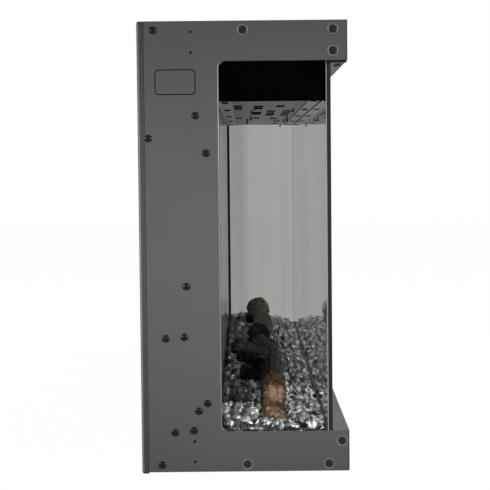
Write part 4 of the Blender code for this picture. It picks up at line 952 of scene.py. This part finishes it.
def receiver_slot_shade(bm):
    """A black oval under the hood, over the receiver window: painted shade in its slot."""
    rings(bm, [[(SLOT_SHADE_PLACE[0] + SLOT_SHADE_HALF[0] * math.cos(a), SLOT_SHADE_PLACE[1] + SLOT_SHADE_HALF[1] * math.sin(a),
                 WINDOW_TOP - depth) for a in turn_angles(SLOT_SHADE_SIDES)] for depth in SLOT_SHADE_DEPTHS])


def is_fold(face):
    """Whether a face of the back cover belongs to one of its rounded upright folds, which get a lighter
    finish as a painted highlight.
    """
    return face.normal.y > 0.15 and 0.8 < abs(face.normal.x) < 0.98 and face.area > 0.0001


def is_slot_wall(face):
    """Whether a face of the ceiling is the wall of one of its slots."""
    return abs(face.normal.z) < 0.5 and face.center.z < CEILING_TOP


def also_finished(piece, finish, chosen):
    """Gives those faces of a piece for which chosen is true a second finish."""
    piece.data.materials.append(material(finish))
    for face in piece.data.polygons:
        if chosen(face):
            face.material_index = 1


def on_both_sides(maker):
    """A mesh that holds what maker adds for each end of the fireplace."""
    bm = bmesh.new()
    for side in SIDES:
        maker(bm, side)
    return bm


# The steps, one operator for each piece or group of like pieces

class CasingStep(bpy.types.Operator):
    """Folded sheet of the casing, with rounded edges and satin powder coat"""
    bl_idname = "fireplace.casing"
    bl_label = "Casing"
    bl_options = {"REGISTER", "UNDO"}

    def execute(self, context):
        for node in FOLDED:
            cover = node == "back_cover"
            piece = eased(node, "cover_paint" if cover else "panel_paint",
                          sizes_of("casing").edge)
            if cover:
                also_finished(piece, "fold_sheen", is_fold)
        # The lips' lighter finish is a painted highlight
        lips = fitted_from(on_both_sides(window_lip), "window_lips", "window_lip")
        lips.data.shade_smooth()
        # Black beads, strips and an oval: painted shade along the windows' edges, under the hood's ends and
        # in the receiver's slot
        bm = on_both_sides(window_shade_line)
        for side in SIDES:
            hood_shade_strips(bm, side)
        receiver_slot_shade(bm)
        fitted_from(bm, "edge_gaskets", "slot_black")
        # Painted shade in the grooves round the knock-outs
        fitted_from(on_both_sides(knockout_groove_shade), "knockout_seams", "print_black")
        finish_nodes("black_paint", "glass_rail_bottom", "glass_rail_top", "flame_baffle", "floor_rail_front")
        finish_nodes("zinc_sheet", "pane_ledge_left", "pane_ledge_right", "pane_retainer_left",
                     "pane_retainer_right", "floor_rail_rear", "motor_bracket", "bearing_bracket",
                     "heater_housing", "air_deflector", "junction_box", "power_supply")
        return {"FINISHED"}


# Places (y, z) of the button heads on each end panel
END_SCREWS = ((0.1269, 0.6390), (0.1355, 0.4853), (0.0675, 0.5174), (0.0528, 0.4635), (0.0832, 0.2721),
              (0.1138, 0.1971), (0.0871, 0.1990), (0.0543, 0.1024), (0.0671, 0.0913), (0.1018, 0.0604),
              (0.0746, 0.0628), (0.1207, 0.0129))
# Columns of heads along the back cover's upper and lower edges
COVER_COLUMNS = 7
COVER_REACH = 0.66
COVER_INSET = 0.012
# Places of the dimpled seats and small holes, as shares of the depth and of the header's or sill's height
TOP_SEAT_SHARES = ((0.497, 0.227), (0.069, 0.227), (0.069, 0.760))
BOTTOM_SEAT_SHARES = ((0.492, 0.213), (0.098, 0.213), (0.035, 0.755))
TOP_HOLE_SHARES = ((0.744, 0.272), (0.744, 0.783))
BOTTOM_HOLE_SHARES = ((0.744, 0.277), (0.744, 0.766))
SEAT_DEPTH = 0.0016
# Radii and depths of the rings of the black plug in a hole, painted shade inside it
HOLE_SHADE = ((0.0021, 0.0014), (0.0021, 0.0011), (0.0008, 0.0009))
HOLE_SHADE_SIDES = 16


def end_places(top_shares, bottom_shares):
    """Places (y, z) on an end panel for shares of its header and of its sill."""
    return ([(FRONT + y * DEPTH, HEIGHT - z * HEADER) for y, z in top_shares]
            + [(FRONT + y * DEPTH, z * SILL) for y, z in bottom_shares])


def hole_plugs(bm, side):
    """Black plugs in the small holes of an end panel: painted shade inside the holes."""
    for y, z in end_places(TOP_HOLE_SHARES, BOTTOM_HOLE_SHARES):
        rings(bm, [[(side * (END - depth), y + r * math.cos(a), z + r * math.sin(a))
                    for a in turn_angles(HOLE_SHADE_SIDES)] for r, depth in HOLE_SHADE])


class FastenersStep(bpy.types.Operator):
    """Screws of the casing, and the dimpled seats in its end panels"""
    bl_idname = "fireplace.fasteners"
    bl_label = "Fasteners"
    bl_options = {"REGISTER", "UNDO"}

    def execute(self, context):
        sizes = sizes_of("casing")
        heads = [((side * END, y, z), (side, 0.0, 0.0)) for side in SIDES for y, z in END_SCREWS]
        columns = [COVER_REACH * (2 * i / (COVER_COLUMNS - 1) - 1) for i in range(COVER_COLUMNS)]
        levels = (COVER_INSET, HEIGHT - COVER_INSET)
        heads += [((x, BACK, z), (0.0, 1.0, 0.0)) for x in columns for z in levels]
        places = end_places(TOP_SEAT_SHARES, BOTTOM_SEAT_SHARES)
        seats = [((side * END, y, z), (side, 0.0, 0.0)) for side in SIDES for y, z in places[:3]]
        seats += [((side * END, y, z), (side, 0.0, 0.0)) for side in SIDES for y, z in places[3:]]
        button, cup, flat = button_head(), pressed_seat(), flat_head()
        repeated("button_screws", heads, button, sizes.screw_diameter, sizes.screw_height,
                 "screw_black", 3)
        # The seats' lighter finish is a painted highlight
        repeated("screw_seats", seats, cup, sizes.seat_diameter, SEAT_DEPTH, "seat_rim", 4)
        repeated("flat_screws", seats, flat, sizes.seat_diameter, SEAT_DEPTH,
                 "screw_flat", 5)
        # Painted shade inside the small holes
        fitted_from(on_both_sides(hole_plugs), "hole_plugs", "print_black")
        for shape in (button, cup, flat):
            bpy.data.objects.remove(shape)
        return {"FINISHED"}


PRINT = 0.00012
PRINT_GAP = 0.00003
FRONT_PRINT = (0.0002, 0.0004)
PRINT_TOP = GLASS_TOP - 0.001
SIDE_PRINT = (ROOM_FRONT - 0.0015, ROOM_BACK + 0.006)
EDGE_SEAL_BACK = GLASS_BACK - 0.0003
CORNER_SEAL_FRONT = GLASS_BACK - 0.0002
SEAL_GAP = 0.0001
SEAL_TOP = 0.5930
# The seals stand further into the room at the near end
SEAL_WIDTH = {-1: 0.0009, 1: 0.0003}


def glass_edge(bm, side):
    """The dark seal over the end edge of the front glass."""
    end_block(bm, side, PANE_FRONT + SEAL_GAP, SEAL_OUT, (GLASS_FRONT, LEDGE),
              (EDGE_SEAL_BACK, GLASS_TOP))


def corner_seal(bm, side):
    """The clear seal between the front glass and a side pane."""
    end_block(bm, side, PANE_FRONT + SEAL_GAP, SEAL_OUT, (CORNER_SEAL_FRONT, LEDGE),
              (GLASS_BACK + SEAL_WIDTH[side], SEAL_TOP))


class GlazingStep(bpy.types.Operator):
    """The three panes, their printed black band and the seals at their corners"""
    bl_idname = "fireplace.glazing"
    bl_label = "Glazing"
    bl_options = {"REGISTER", "UNDO"}

    def execute(self, context):
        finish_nodes("clear_pane", "side_glass_left", "side_glass_right")
        finish_nodes("front_pane", "front_glass")
        bm = bmesh.new()
        for side, low in zip(SIDES, (WINDOW_TOP - sizes_of("glass").band, CEILING)):
            end_block(bm, side, PANE_BACK + PRINT_GAP, PANE_BACK + PRINT_GAP + PRINT,
                      (SIDE_PRINT[0], low), (SIDE_PRINT[1], PRINT_TOP))
        near, far = FRONT_PRINT
        block(bm, (-PANE_BACK, GLASS_BACK + near, CEILING), (PANE_BACK, GLASS_BACK + far, PRINT_TOP))
        fitted_from(bm, "glass_print", "print_black")
        fitted_from(on_both_sides(glass_edge), "glass_edges", "seal_dark")
        fitted_from(on_both_sides(corner_seal), "corner_seals", "seal_clear")
        return {"FINISHED"}


CEILING_EDGE = 0.0002
SHADE_SHEET_REACH = 0.690
STRIP_REACH = 0.688
SHADE_SHEET_DEPTHS = (0.0002, 0.0001)
SHADE_SHEET_INSET = 0.002
# Where the painted shade sheet over the slots of each strip lies across the room, from and to
STRIP_SHADE_SHEETS = ((ROOM_FRONT + 0.001, ROOM_FRONT + 0.0159), (ROOM_BACK - 0.021, ROOM_BACK - 0.001))
# The seal that closes the gap between the front glass and the front strip, from corner to corner
GAP_SEAL = ((-STRIP_REACH, GLASS_BACK + 0.0006, CEILING - 0.0008),
            (STRIP_REACH, ROOM_FRONT + 0.0030, CEILING - 0.0003))
# Each hanging tab: x, y and how far it hangs
TABS = ((-0.2445, -0.0885, 0.0075), (0.123, -0.089, 0.012), (0.267, -0.087, 0.0086), (0.646, -0.089, 0.007),
        (-0.189, -0.016, 0.008), (0.104, -0.016, 0.010), (0.277, -0.009, 0.0108))
# Along a tab, from its root: the share of its height and half its width there
TAB_SHARES = ((0.0, 0.0022), (0.3, 0.0012), (0.75, 0.0021), (1.0, 0.0018))
TAB_HALF = 0.0009
TAB_ROOT = 0.0004


def shade_sheet(bm, reach, front, rear, under):
    """A thin black sheet just under the face called under: painted shade seen through the slots."""
    low, high = (under - depth for depth in SHADE_SHEET_DEPTHS)
    block(bm, (-reach, front, low), (reach, rear, high))


def hanging_tab(bm, x, y, hang):
    """A tab that hangs under the ceiling, with a waist near its root."""
    circles = []
    for share, wide in TAB_SHARES:
        z = CEILING + TAB_ROOT - share * hang
        circles.append([(x + a * TAB_HALF, y + b * wide, z) for a, b in ((-1, -1), (-1, 1), (1, 1), (1, -1))])
    rings(bm, circles)


class FireboxStep(bpy.types.Operator):
    """Ceiling with its hanging tabs, the flame screen and the tray"""
    bl_idname = "fireplace.firebox"
    bl_label = "Firebox"
    bl_options = {"REGISTER", "UNDO"}

    def execute(self, context):
        for node, finish in (("ceiling_panel", "ceiling_plate"), ("ceiling_strip_front", "ceiling_strip"),
                             ("ceiling_strip_rear", "ceiling_strip")):
            piece = eased(node, finish, CEILING_EDGE)
            # The walls of the slots are black: painted shade
            also_finished(piece, "slot_black", is_slot_wall)
        finish_nodes("milky_screen", "flame_screen", "ember_tray")
        bm = bmesh.new()
        # Black sheets over the slots of the ceiling and its strips: painted shade seen through them
        shade_sheet(bm, SHADE_SHEET_REACH, ROOM_FRONT + SHADE_SHEET_INSET, ROOM_BACK - SHADE_SHEET_INSET, CEILING_TOP)
        for front, rear in STRIP_SHADE_SHEETS:
            shade_sheet(bm, STRIP_REACH, front, rear, CEILING)
        fitted_from(bm, "ceiling_backing", "print_black")
        bm = bmesh.new()
        block(bm, *GAP_SEAL)
        fitted_from(bm, "front_gap_seal", "grey_seal")
        bm = bmesh.new()
        for tab in TABS:
            hanging_tab(bm, *tab)
        fitted_from(bm, "ceiling_tabs", "black_paint")
        return {"FINISHED"}


BED_REACH = 0.6790
BED_FRONT = ROOM_FRONT + 0.008
BED_BACK = ROOM_BACK - 0.009
BED_SINK = 0.0060
# The bed dips in front of the bark log, so that the log's cut end shows
DIP_PLACE = (-0.6700, -0.0412)
DIP_REACH = 0.034
DIP_DEPTH = 0.014
DIP_FLAT = 0.3
# Faces of the bed that look down more than this carry no pieces
LOOKS_DOWN = -0.3
# The box that holds the pieces, and how far they stay above the bed's lowest point
PIECES_REACH = PANE_BACK - 0.0006
PIECES_FRONT = ROOM_FRONT + 0.0003
PIECES_BACK = ROOM_BACK - 0.0004
PIECES_TOP = 0.2
PIECES_GAP = 0.0002
# Each layer: name, finish, share of the spacing, smallest and largest share of the radius, lift and seed
GLASS_LAYERS = (
    ("ice_clear_pieces", "ice_clear", 1.0, 0.5, 1.0, 0.0030, 1),
    ("ice_smoke_pieces", "ice_smoke", 1.1, 0.5, 0.95, 0.0028, 2),
    ("ice_small_pieces", "ice_glint", 1.7, 0.2, 0.34, 0.0100, 3),
)


def bed_dip(co):
    """How far the bed lies lower at a place."""
    far = math.hypot(co.x - DIP_PLACE[0], co.y - DIP_PLACE[1])
    return DIP_DEPTH * (1 - smooth(DIP_FLAT * DIP_REACH, DIP_REACH, far))


class BedStep(bpy.types.Operator):
    """Bed of broken clear and smoke glass over its dark underlayer"""
    bl_idname = "fireplace.bed"
    bl_label = "Glass bed"
    bl_options = {"REGISTER", "UNDO"}

    def execute(self, context):
        sizes = sizes_of("bed")
        bm = node_copy("crystal_bed")
        floor = min(v.co.z for v in bm.verts)
        for v in bm.verts:
            v.co.x = min(max(v.co.x, -BED_REACH), BED_REACH)
            v.co.y = min(max(v.co.y, BED_FRONT), BED_BACK)
            v.co.z = max(floor, v.co.z - BED_SINK - bed_dip(v.co))
        under = object_from(bm, "bed_underlayer")
        bm = bmesh.new()
        bm.from_mesh(under.data)
        bmesh.ops.delete(bm, geom=[f for f in bm.faces if f.normal.z < LOOKS_DOWN], context="FACES")
        top = object_from(bm, "bed_top")
        shapes = glass_pieces(sizes.seed)
        low = (-PIECES_REACH, PIECES_FRONT, floor + PIECES_GAP)
        high = (PIECES_REACH, PIECES_BACK, PIECES_TOP)
        for name, finish, spread, small, large, lift, seed in GLASS_LAYERS:
            piece = grown(linked(top.data.copy(), name), scattered_tree, {
                "Shapes": shapes, "Spacing": sizes.spacing * spread, "Smallest": small * sizes.largest,
                "Largest": large * sizes.largest, "Lift": lift, "Low": low, "High": high,
                "Seed": sizes.seed + seed, "Material": material(finish)})
            fitted(piece, None)
        for shape in (top, *shapes.objects):
            bpy.data.objects.remove(shape)
        bpy.data.collections.remove(shapes)
        fitted(under, "bed_dark", ["crystal_bed"])
        return {"FINISHED"}


# The logs

@dataclass(frozen=True)
class LogShape:
    """A log from its start to its end, with the radius at each and its sideways bend.

    rough is its share of the bark's relief; worn is from and to along the log, and the side that the
    worn patch looks to, which also makes the near cut end barer, so lighter, on that side as painted
    light; char is where the charring starts and where it is full, both as shares of the length; cut is
    how bare and how burnt the near cut end is; droop lowers the near end.
    """
    name: str
    replaced: tuple
    start: tuple
    end: tuple
    radii: tuple
    bend: float
    seed: int
    finish: str = "charred_wood"
    slot: str = "charred_wood"
    rough: float = 1.2
    worn: tuple = ()
    char: tuple = (-2.0, -1.0)
    cut: tuple = (0.0, 1.0)
    droop: float = 0.0


# The twig lies between the prop and the cross branch, and no CAD node stands for it; it darkens that gap, as
# painted shade under the cross branch
LOGS = (
    LogShape("bark_log", ("log_bark_left",), (-0.6524, -0.0412, 0.0757), (-0.3304, -0.0412, 0.1343),
             (0.0190, 0.0184), 0.0030, 3, "bark", "bark", 1.0, (0.06, 0.27, -0.15), (0.36, 0.49),
             (0.85, 0.0), 0.0035),
    # The knotted log's worn patch looks to the front: bare wood, and painted light on the side that the light
    # through the front glass falls on
    LogShape("knotted_log", ("log_knot",), (0.4704, -0.0312, 0.1217), (0.6650, -0.0326, 0.0998),
             (0.0247, 0.0211), 0.0030, 5, "knot_bark", "bark", 1.2, (0.0, 1.0, -0.8), (1.5, 2.0),
             (0.40, 0.1)),
    LogShape("prop_log", ("log_prop_left",), (-0.3850, -0.0620, 0.0965), (-0.3696, 0.0051, 0.0959),
             (0.0159, 0.0175), 0.0012, 7),
    LogShape("cross_log_left", ("log_cross_left",), (-0.4452, 0.0165, 0.1545), (-0.4200, -0.0460, 0.1261),
             (0.0119, 0.0091), -0.0019, 9),
    LogShape("middle_log", ("log_middle",), (-0.2100, -0.0401, 0.0939), (0.0448, -0.0301, 0.0939),
             (0.0181, 0.0169), 0.0042, 11),
    LogShape("round_log", ("log_round_right",), (0.0798, -0.0271, 0.1082), (0.4004, -0.0401, 0.0992),
             (0.0228, 0.0195), 0.0036, 13),
    LogShape("cross_log_right", ("log_cross_right",), (0.4578, -0.0525, 0.0932), (0.4928, -0.0103, 0.0926),
             (0.0123, 0.0139), 0.0013, 15),
    LogShape("charred_twig", (), (-0.4100, 0.0104, 0.1315), (-0.3900, -0.0215, 0.1160), (0.0068, 0.0080),
             0.0008, 17, rough=0.7),
)
AROUND = 72
STEP_LENGTH = 0.0022
FEWEST_STEPS = 24
DROOP_END = 0.45
SEED_SHIFT = Vector((17.3, 5.1, 9.7))
FRACTAL = (1.0, 2.1, 4)
# Patterns of the bark, each with its scale along and round a log, and how wide its furrows are
SWELL, FURROWS, RIDGES, GRAIN = (9, 0.9), (38, 3.0), (14, 5), (90, 7)
FURROW_WIDTH = 0.34
# Where wear starts and is full, and how much the swell and the grain add to it
WEAR_EDGE = (0.52, 0.80)
WEAR_SWELL, WEAR_GRAIN = 0.35, 0.22
# How far the swell and the grain move the edge of the charring
CHAR_SWELL, CHAR_GRAIN = 0.10, 0.04
# A cut end: how far its middle stands out, the height and width of its growth rings, its rings of points
# as shares of the radius, and the share up to which they are cut wood
CUT_BULGE = 0.0012
CUT_ROUGHNESS = 0.0008
GROWTH_RING = 0.0011
CUT_SCALES = (0.06, 0.2, 0.34, 0.48, 0.62, 0.75, 0.86, 0.94, 0.985)
CUT_EDGE = 0.95


def log_axes(log):
    """A log's direction, the directions sideways and upwards from it, and its length."""
    line = Vector(log.end) - Vector(log.start)
    axis = line.normalized()
    side = axis.cross(Vector((0, 0, 1))).normalized()
    return axis, side, side.cross(axis), line.length


def bark_pattern(log, along, around):
    """Swell, furrows, ridges and fine grain of the bark at a place on a log."""
    def cell(across_scale, around_scale):
        return Vector((along * across_scale, around.x * around_scale, around.y * around_scale)) + shift
    shift = SEED_SHIFT * log.seed
    near, second = noise.voronoi(cell(*FURROWS))[0][:2]
    return (noise.noise(cell(*SWELL)), smooth(0.0, FURROW_WIDTH, second - near), noise.noise(cell(*RIDGES)),
            noise.fractal(cell(*GRAIN), *FRACTAL))


def wear_at(log, share, around, swell, fine):
    """How bare a log is at a place; its worn patch has ragged edges."""
    if not log.worn:
        return 0.0
    low, high, way = log.worn
    toward = around.y * 0.9 - around.x * way
    wear = smooth(*WEAR_EDGE, toward + WEAR_SWELL * swell + WEAR_GRAIN * fine)
    wear *= smooth(low - 0.02, low + 0.02, share)
    return wear * (1 - smooth(high - 0.03, high + 0.03, share + 0.06 * fine))


def log_circle(log, relief, along, scale=1.0, bulge=0.0):
    """A ring of a log's points, and how worn and how charred each is; bulge is below 0 at the near end."""
    axis, side, up, length = log_axes(log)
    share = along / length
    radius = log.radii[0] + (log.radii[1] - log.radii[0]) * share
    centre = Vector(log.start) + axis * along + side * (log.bend * math.sin(math.pi * share))
    centre.z -= log.droop * (1 - smooth(0.0, DROOP_END, share))
    points, marks = [], []
    for angle in turn_angles(AROUND):
        around = Vector((math.cos(angle), math.sin(angle)))
        swell, furrow, ridge, fine = bark_pattern(log, along, around)
        wear = wear_at(log, share, around, swell, fine)
        depth = relief * (furrow - 0.6 + 0.8 * ridge) * (1 - 0.8 * wear) + 0.4 * relief * fine
        reach = max(0.2 * radius, radius * (1 + 0.09 * swell) + depth - 0.6 * relief * wear) * scale
        wave = CUT_ROUGHNESS * (fine + 0.6 * math.sin(reach / GROWTH_RING)) if bulge else 0.0
        points.append(centre + axis * (bulge * (1 - scale) + wave) + side * (reach * around.x)
                      + up * (reach * around.y))
        if bulge < 0 and scale < CUT_EDGE:
            # Painted light: the cut end is barer, so lighter, on the side the worn patch looks to
            painted_light_lean = 1.0 - log.worn[2] * around.x * scale if log.worn else 1.0
            marks.append((log.cut[0] * (0.75 + 0.5 * fine) * painted_light_lean, log.cut[1]))
        else:
            marks.append((wear, smooth(*log.char, share + CHAR_SWELL * swell + CHAR_GRAIN * fine)))
    return points, marks


def log_mesh(log, relief):
    """A log with plates and furrows, cut ends, and its attributes worn and char."""
    length = log_axes(log)[-1]
    steps = max(FEWEST_STEPS, int(length / STEP_LENGTH))
    made = [log_circle(log, relief, 0.0, scale, -CUT_BULGE) for scale in CUT_SCALES]
    made += [log_circle(log, relief, length * step / steps) for step in range(steps + 1)]
    made += [log_circle(log, relief, length, scale, CUT_BULGE) for scale in reversed(CUT_SCALES)]
    bm = bmesh.new()
    rings(bm, [points for points, _ in made])
    bmesh.ops.recalc_face_normals(bm, faces=bm.faces)
    piece = object_from(bm, log.name)
    piece.data.shade_smooth()
    for index, label in enumerate(("worn", "char")):
        layer = piece.data.attributes.new(label, "FLOAT", "POINT")
        layer.data.foreach_set("value", [mark[index] for _, marks in made for mark in marks])
    return piece


# The lump: scale and width of its furrows, scale of its grain, its size in a furrow, and what both add
LUMP_FURROWS, LUMP_FURROW_WIDTH, LUMP_GRAIN = 2.1, 0.3, 2.5
LUMP_SIZE, LUMP_RELIEF = 0.80, 0.12


def lump_mesh():
    """A charred lump with furrows, inside the box of its CAD node."""
    low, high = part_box("charred_lump")
    middle, half = (low + high) / 2, (high - low) / 2
    bm = bmesh.new()
    bmesh.ops.create_icosphere(bm, subdivisions=5, radius=1.0)
    for v in bm.verts:
        near, second = noise.voronoi(v.co * LUMP_FURROWS)[0][:2]
        furrow = smooth(0.0, LUMP_FURROW_WIDTH, second - near)
        fine = noise.fractal(v.co * LUMP_GRAIN, *FRACTAL)
        size = LUMP_SIZE + LUMP_RELIEF * furrow + LUMP_RELIEF * fine
        v.co = middle + v.co * half * min(1.0, size)
    piece = object_from(bm, "charred_lump_finished")
    piece.data.shade_smooth()
    return piece


class LogsStep(bpy.types.Operator):
    """Bark-covered and charred logs, and the charred lump"""
    bl_idname = "fireplace.logs"
    bl_label = "Logs"
    bl_options = {"REGISTER", "UNDO"}

    def execute(self, context):
        for log in LOGS:
            piece = log_mesh(log, log.rough * sizes_of("logs").relief)
            fitted(piece, log.finish, log.replaced)
        fitted(lump_mesh(), "lump_bark", ["charred_lump"])
        return {"FINISHED"}


class WorksStep(bpy.types.Operator):
    """Flame spindle, heater, boards and wiring inside the casing"""
    bl_idname = "fireplace.works"
    bl_label = "Works"
    bl_options = {"REGISTER", "UNDO"}

    def execute(self, context):
        finish_nodes("mirror_sheet", "flame_spindle")
        finish_nodes("zinc_sheet", "spindle_motor", "fan_motor")
        finish_nodes("black_plastic", "spindle_coupler", "spindle_bush", "fan_wheel", "cord_gland")
        finish_nodes("board", "ember_lamp_board", "flame_lamp_board", "downlight_board", "control_board",
                     "button_board")
        finish_nodes("mica", "heating_element", "terminal_block")
        return {"FINISHED"}


class ControlsStep(bpy.types.Operator):
    """Push buttons, rocker switch and receiver window under the hood"""
    bl_idname = "fireplace.controls"
    bl_label = "Controls"
    bl_options = {"REGISTER", "UNDO"}

    def execute(self, context):
        finish_nodes("black_plastic", "button_plate", "button_power", "button_flame", "button_heat",
                     "receiver_window", "rocker_frame", "rocker_key")
        return {"FINISHED"}


# The stage

CAMERA_PLACE = (-2.6863, -0.0011, 0.4434)
CAMERA_TURN = (86.77399, 0.55704, -90.04865)
CAMERA_LENS = 101.72
CAMERA_SENSOR = 36.0
CAMERA_RANGE = (0.05, 50.0)
FLOOR_RADIUS, FLOOR_SIDES = 9.0, 64
FLOOR_GLOW = 0.99
WHITE = (1.0, 1.0, 1.0, 1.0)
# Each soft lamp: name, place, target, size, spread of its beam in degrees and its share of the power
LAMPS = (
    ("lamp_near_right", (-1.85, -1.20, 0.66), (-0.70, 0.0, 0.32), 0.3, 42.0, 0.25),
    ("lamp_near_left", (-1.85, 1.20, 0.66), (-0.70, 0.0, 0.32), 0.3, 42.0, 0.23),
    ("lamp_above", (0.0, -0.9, 2.5), (0.0, 0.0, 0.3), 1.6, 180.0, 4.2),
    ("lamp_front", (0.3, -2.4, 1.1), (0.0, 0.0, 0.3), 1.4, 180.0, 2.0),
    ("lamp_far", (2.3, 0.9, 1.0), (0.5, 0.0, 0.3), 1.2, 180.0, 0.5),
    ("lamp_back", (-0.3, 2.5, 1.1), (0.0, 0.0, 0.3), 1.4, 180.0, 1.6),
)


def plain_rays(tree):
    """1 for the rays that see the background directly, in a mirror or through glass; 0 for the rest."""
    path = tree.nodes.new("ShaderNodeLightPath").outputs
    seen = arithmetic(tree, "MAXIMUM", path["Is Camera Ray"], path["Is Glossy Ray"])
    return arithmetic(tree, "MAXIMUM", seen, path["Is Transmission Ray"])


def pale_floor(rgb):
    """A floor that takes soft shadows, and looks as bright as the background to the camera."""
    made, tree, surface = new_material("floor_pale")
    connect(tree, surface, {
        "Base Color": cloudy(tree, rgb, 0.01, 1.5)["Color"], "Roughness": 0.9, "Specular IOR Level": 0.0})
    glow = add(tree, "ShaderNodeEmission", None, {"Strength": 1.0})
    mix_shader(tree, arithmetic(tree, "MULTIPLY", plain_rays(tree), FLOOR_GLOW), surface.outputs[0], glow)
    return made


def even_light(fill):
    """A world that is white where it is seen and lights the scene with the strength called fill."""
    world = bpy.data.worlds.new("even_light")
    world.use_nodes = True
    tree = world.node_tree
    connect(tree, tree.nodes["Background"], {
        "Color": WHITE, "Strength": ranged(tree, plain_rays(tree), fill, 1.0)})
    return world


def soft_lamp(name, place, target, size, spread, power):
    """A square soft lamp that looks at a target."""
    lamp = bpy.data.lights.new(name, "AREA")
    lamp.shape = "SQUARE"
    lamp.size = size
    lamp.energy = power
    lamp.spread = math.radians(spread)
    made = linked(lamp, name)
    made.location = place
    made.rotation_euler = (Vector(target) - Vector(place)).to_track_quat("-Z", "Y").to_euler()


def photo_camera():
    """The camera at the photograph's view."""
    data = bpy.data.cameras.new("camera")
    data.sensor_width = CAMERA_SENSOR
    data.lens = CAMERA_LENS
    data.clip_start, data.clip_end = CAMERA_RANGE
    camera = linked(data, "camera")
    camera.location = CAMERA_PLACE
    camera.rotation_euler = [math.radians(angle) for angle in CAMERA_TURN]
    return camera


class StageStep(bpy.types.Operator):
    """Pale floor, soft lamps, even world light and the camera at the photograph's view"""
    bl_idname = "fireplace.stage"
    bl_label = "Stage"
    bl_options = {"REGISTER", "UNDO"}

    def execute(self, context):
        sizes = sizes_of("stage")
        bm = bmesh.new()
        bmesh.ops.create_circle(bm, cap_ends=True, radius=FLOOR_RADIUS, segments=FLOOR_SIDES)
        floor = object_from(bm, "floor")
        floor.data.materials.append(pale_floor(sizes.floor))
        context.scene.world = even_light(sizes.fill)
        for name, place, target, size, spread, share in LAMPS:
            soft_lamp(name, place, target, size, spread, share * sizes.lamp)
        context.scene.camera = photo_camera()
        context.scene.view_settings.view_transform = "Standard"
        return {"FINISHED"}


STEPS = (CasingStep, FastenersStep, GlazingStep, FireboxStep, BedStep, LogsStep, WorksStep, ControlsStep,
         StageStep)
PROPERTIES = (("fireplace_casing", CasingProperties), ("fireplace_glass", GlassProperties),
              ("fireplace_bed", BedProperties), ("fireplace_logs", LogProperties),
              ("fireplace_stage", StageProperties))


class FireplacePanel(bpy.types.Panel):
    """Lists the sizes, the colours and the steps"""
    bl_idname = "VIEW3D_PT_fireplace"
    bl_label = "Electric fireplace"
    bl_space_type = "VIEW_3D"
    bl_region_type = "UI"
    bl_category = "Fireplace"

    def draw(self, context):
        for label, group in PROPERTIES:
            box = self.layout.box()
            for name in group.__annotations__:
                box.prop(getattr(context.scene, label), name)
        for step in STEPS:
            self.layout.operator(step.bl_idname)


def register():
    for label, group in PROPERTIES:
        bpy.utils.register_class(group)
        setattr(bpy.types.Scene, label, PointerProperty(type=group))
    for item in (*STEPS, FireplacePanel):
        bpy.utils.register_class(item)


def unregister():
    for item in (FireplacePanel, *reversed(STEPS)):
        bpy.utils.unregister_class(item)
    for label, group in PROPERTIES:
        delattr(bpy.types.Scene, label)
        bpy.utils.unregister_class(group)


def main():
    register()
    for step in STEPS:
        family, name = step.bl_idname.split(".")
        getattr(getattr(bpy.ops, family), name)()


if __name__ == "__main__":
    main()
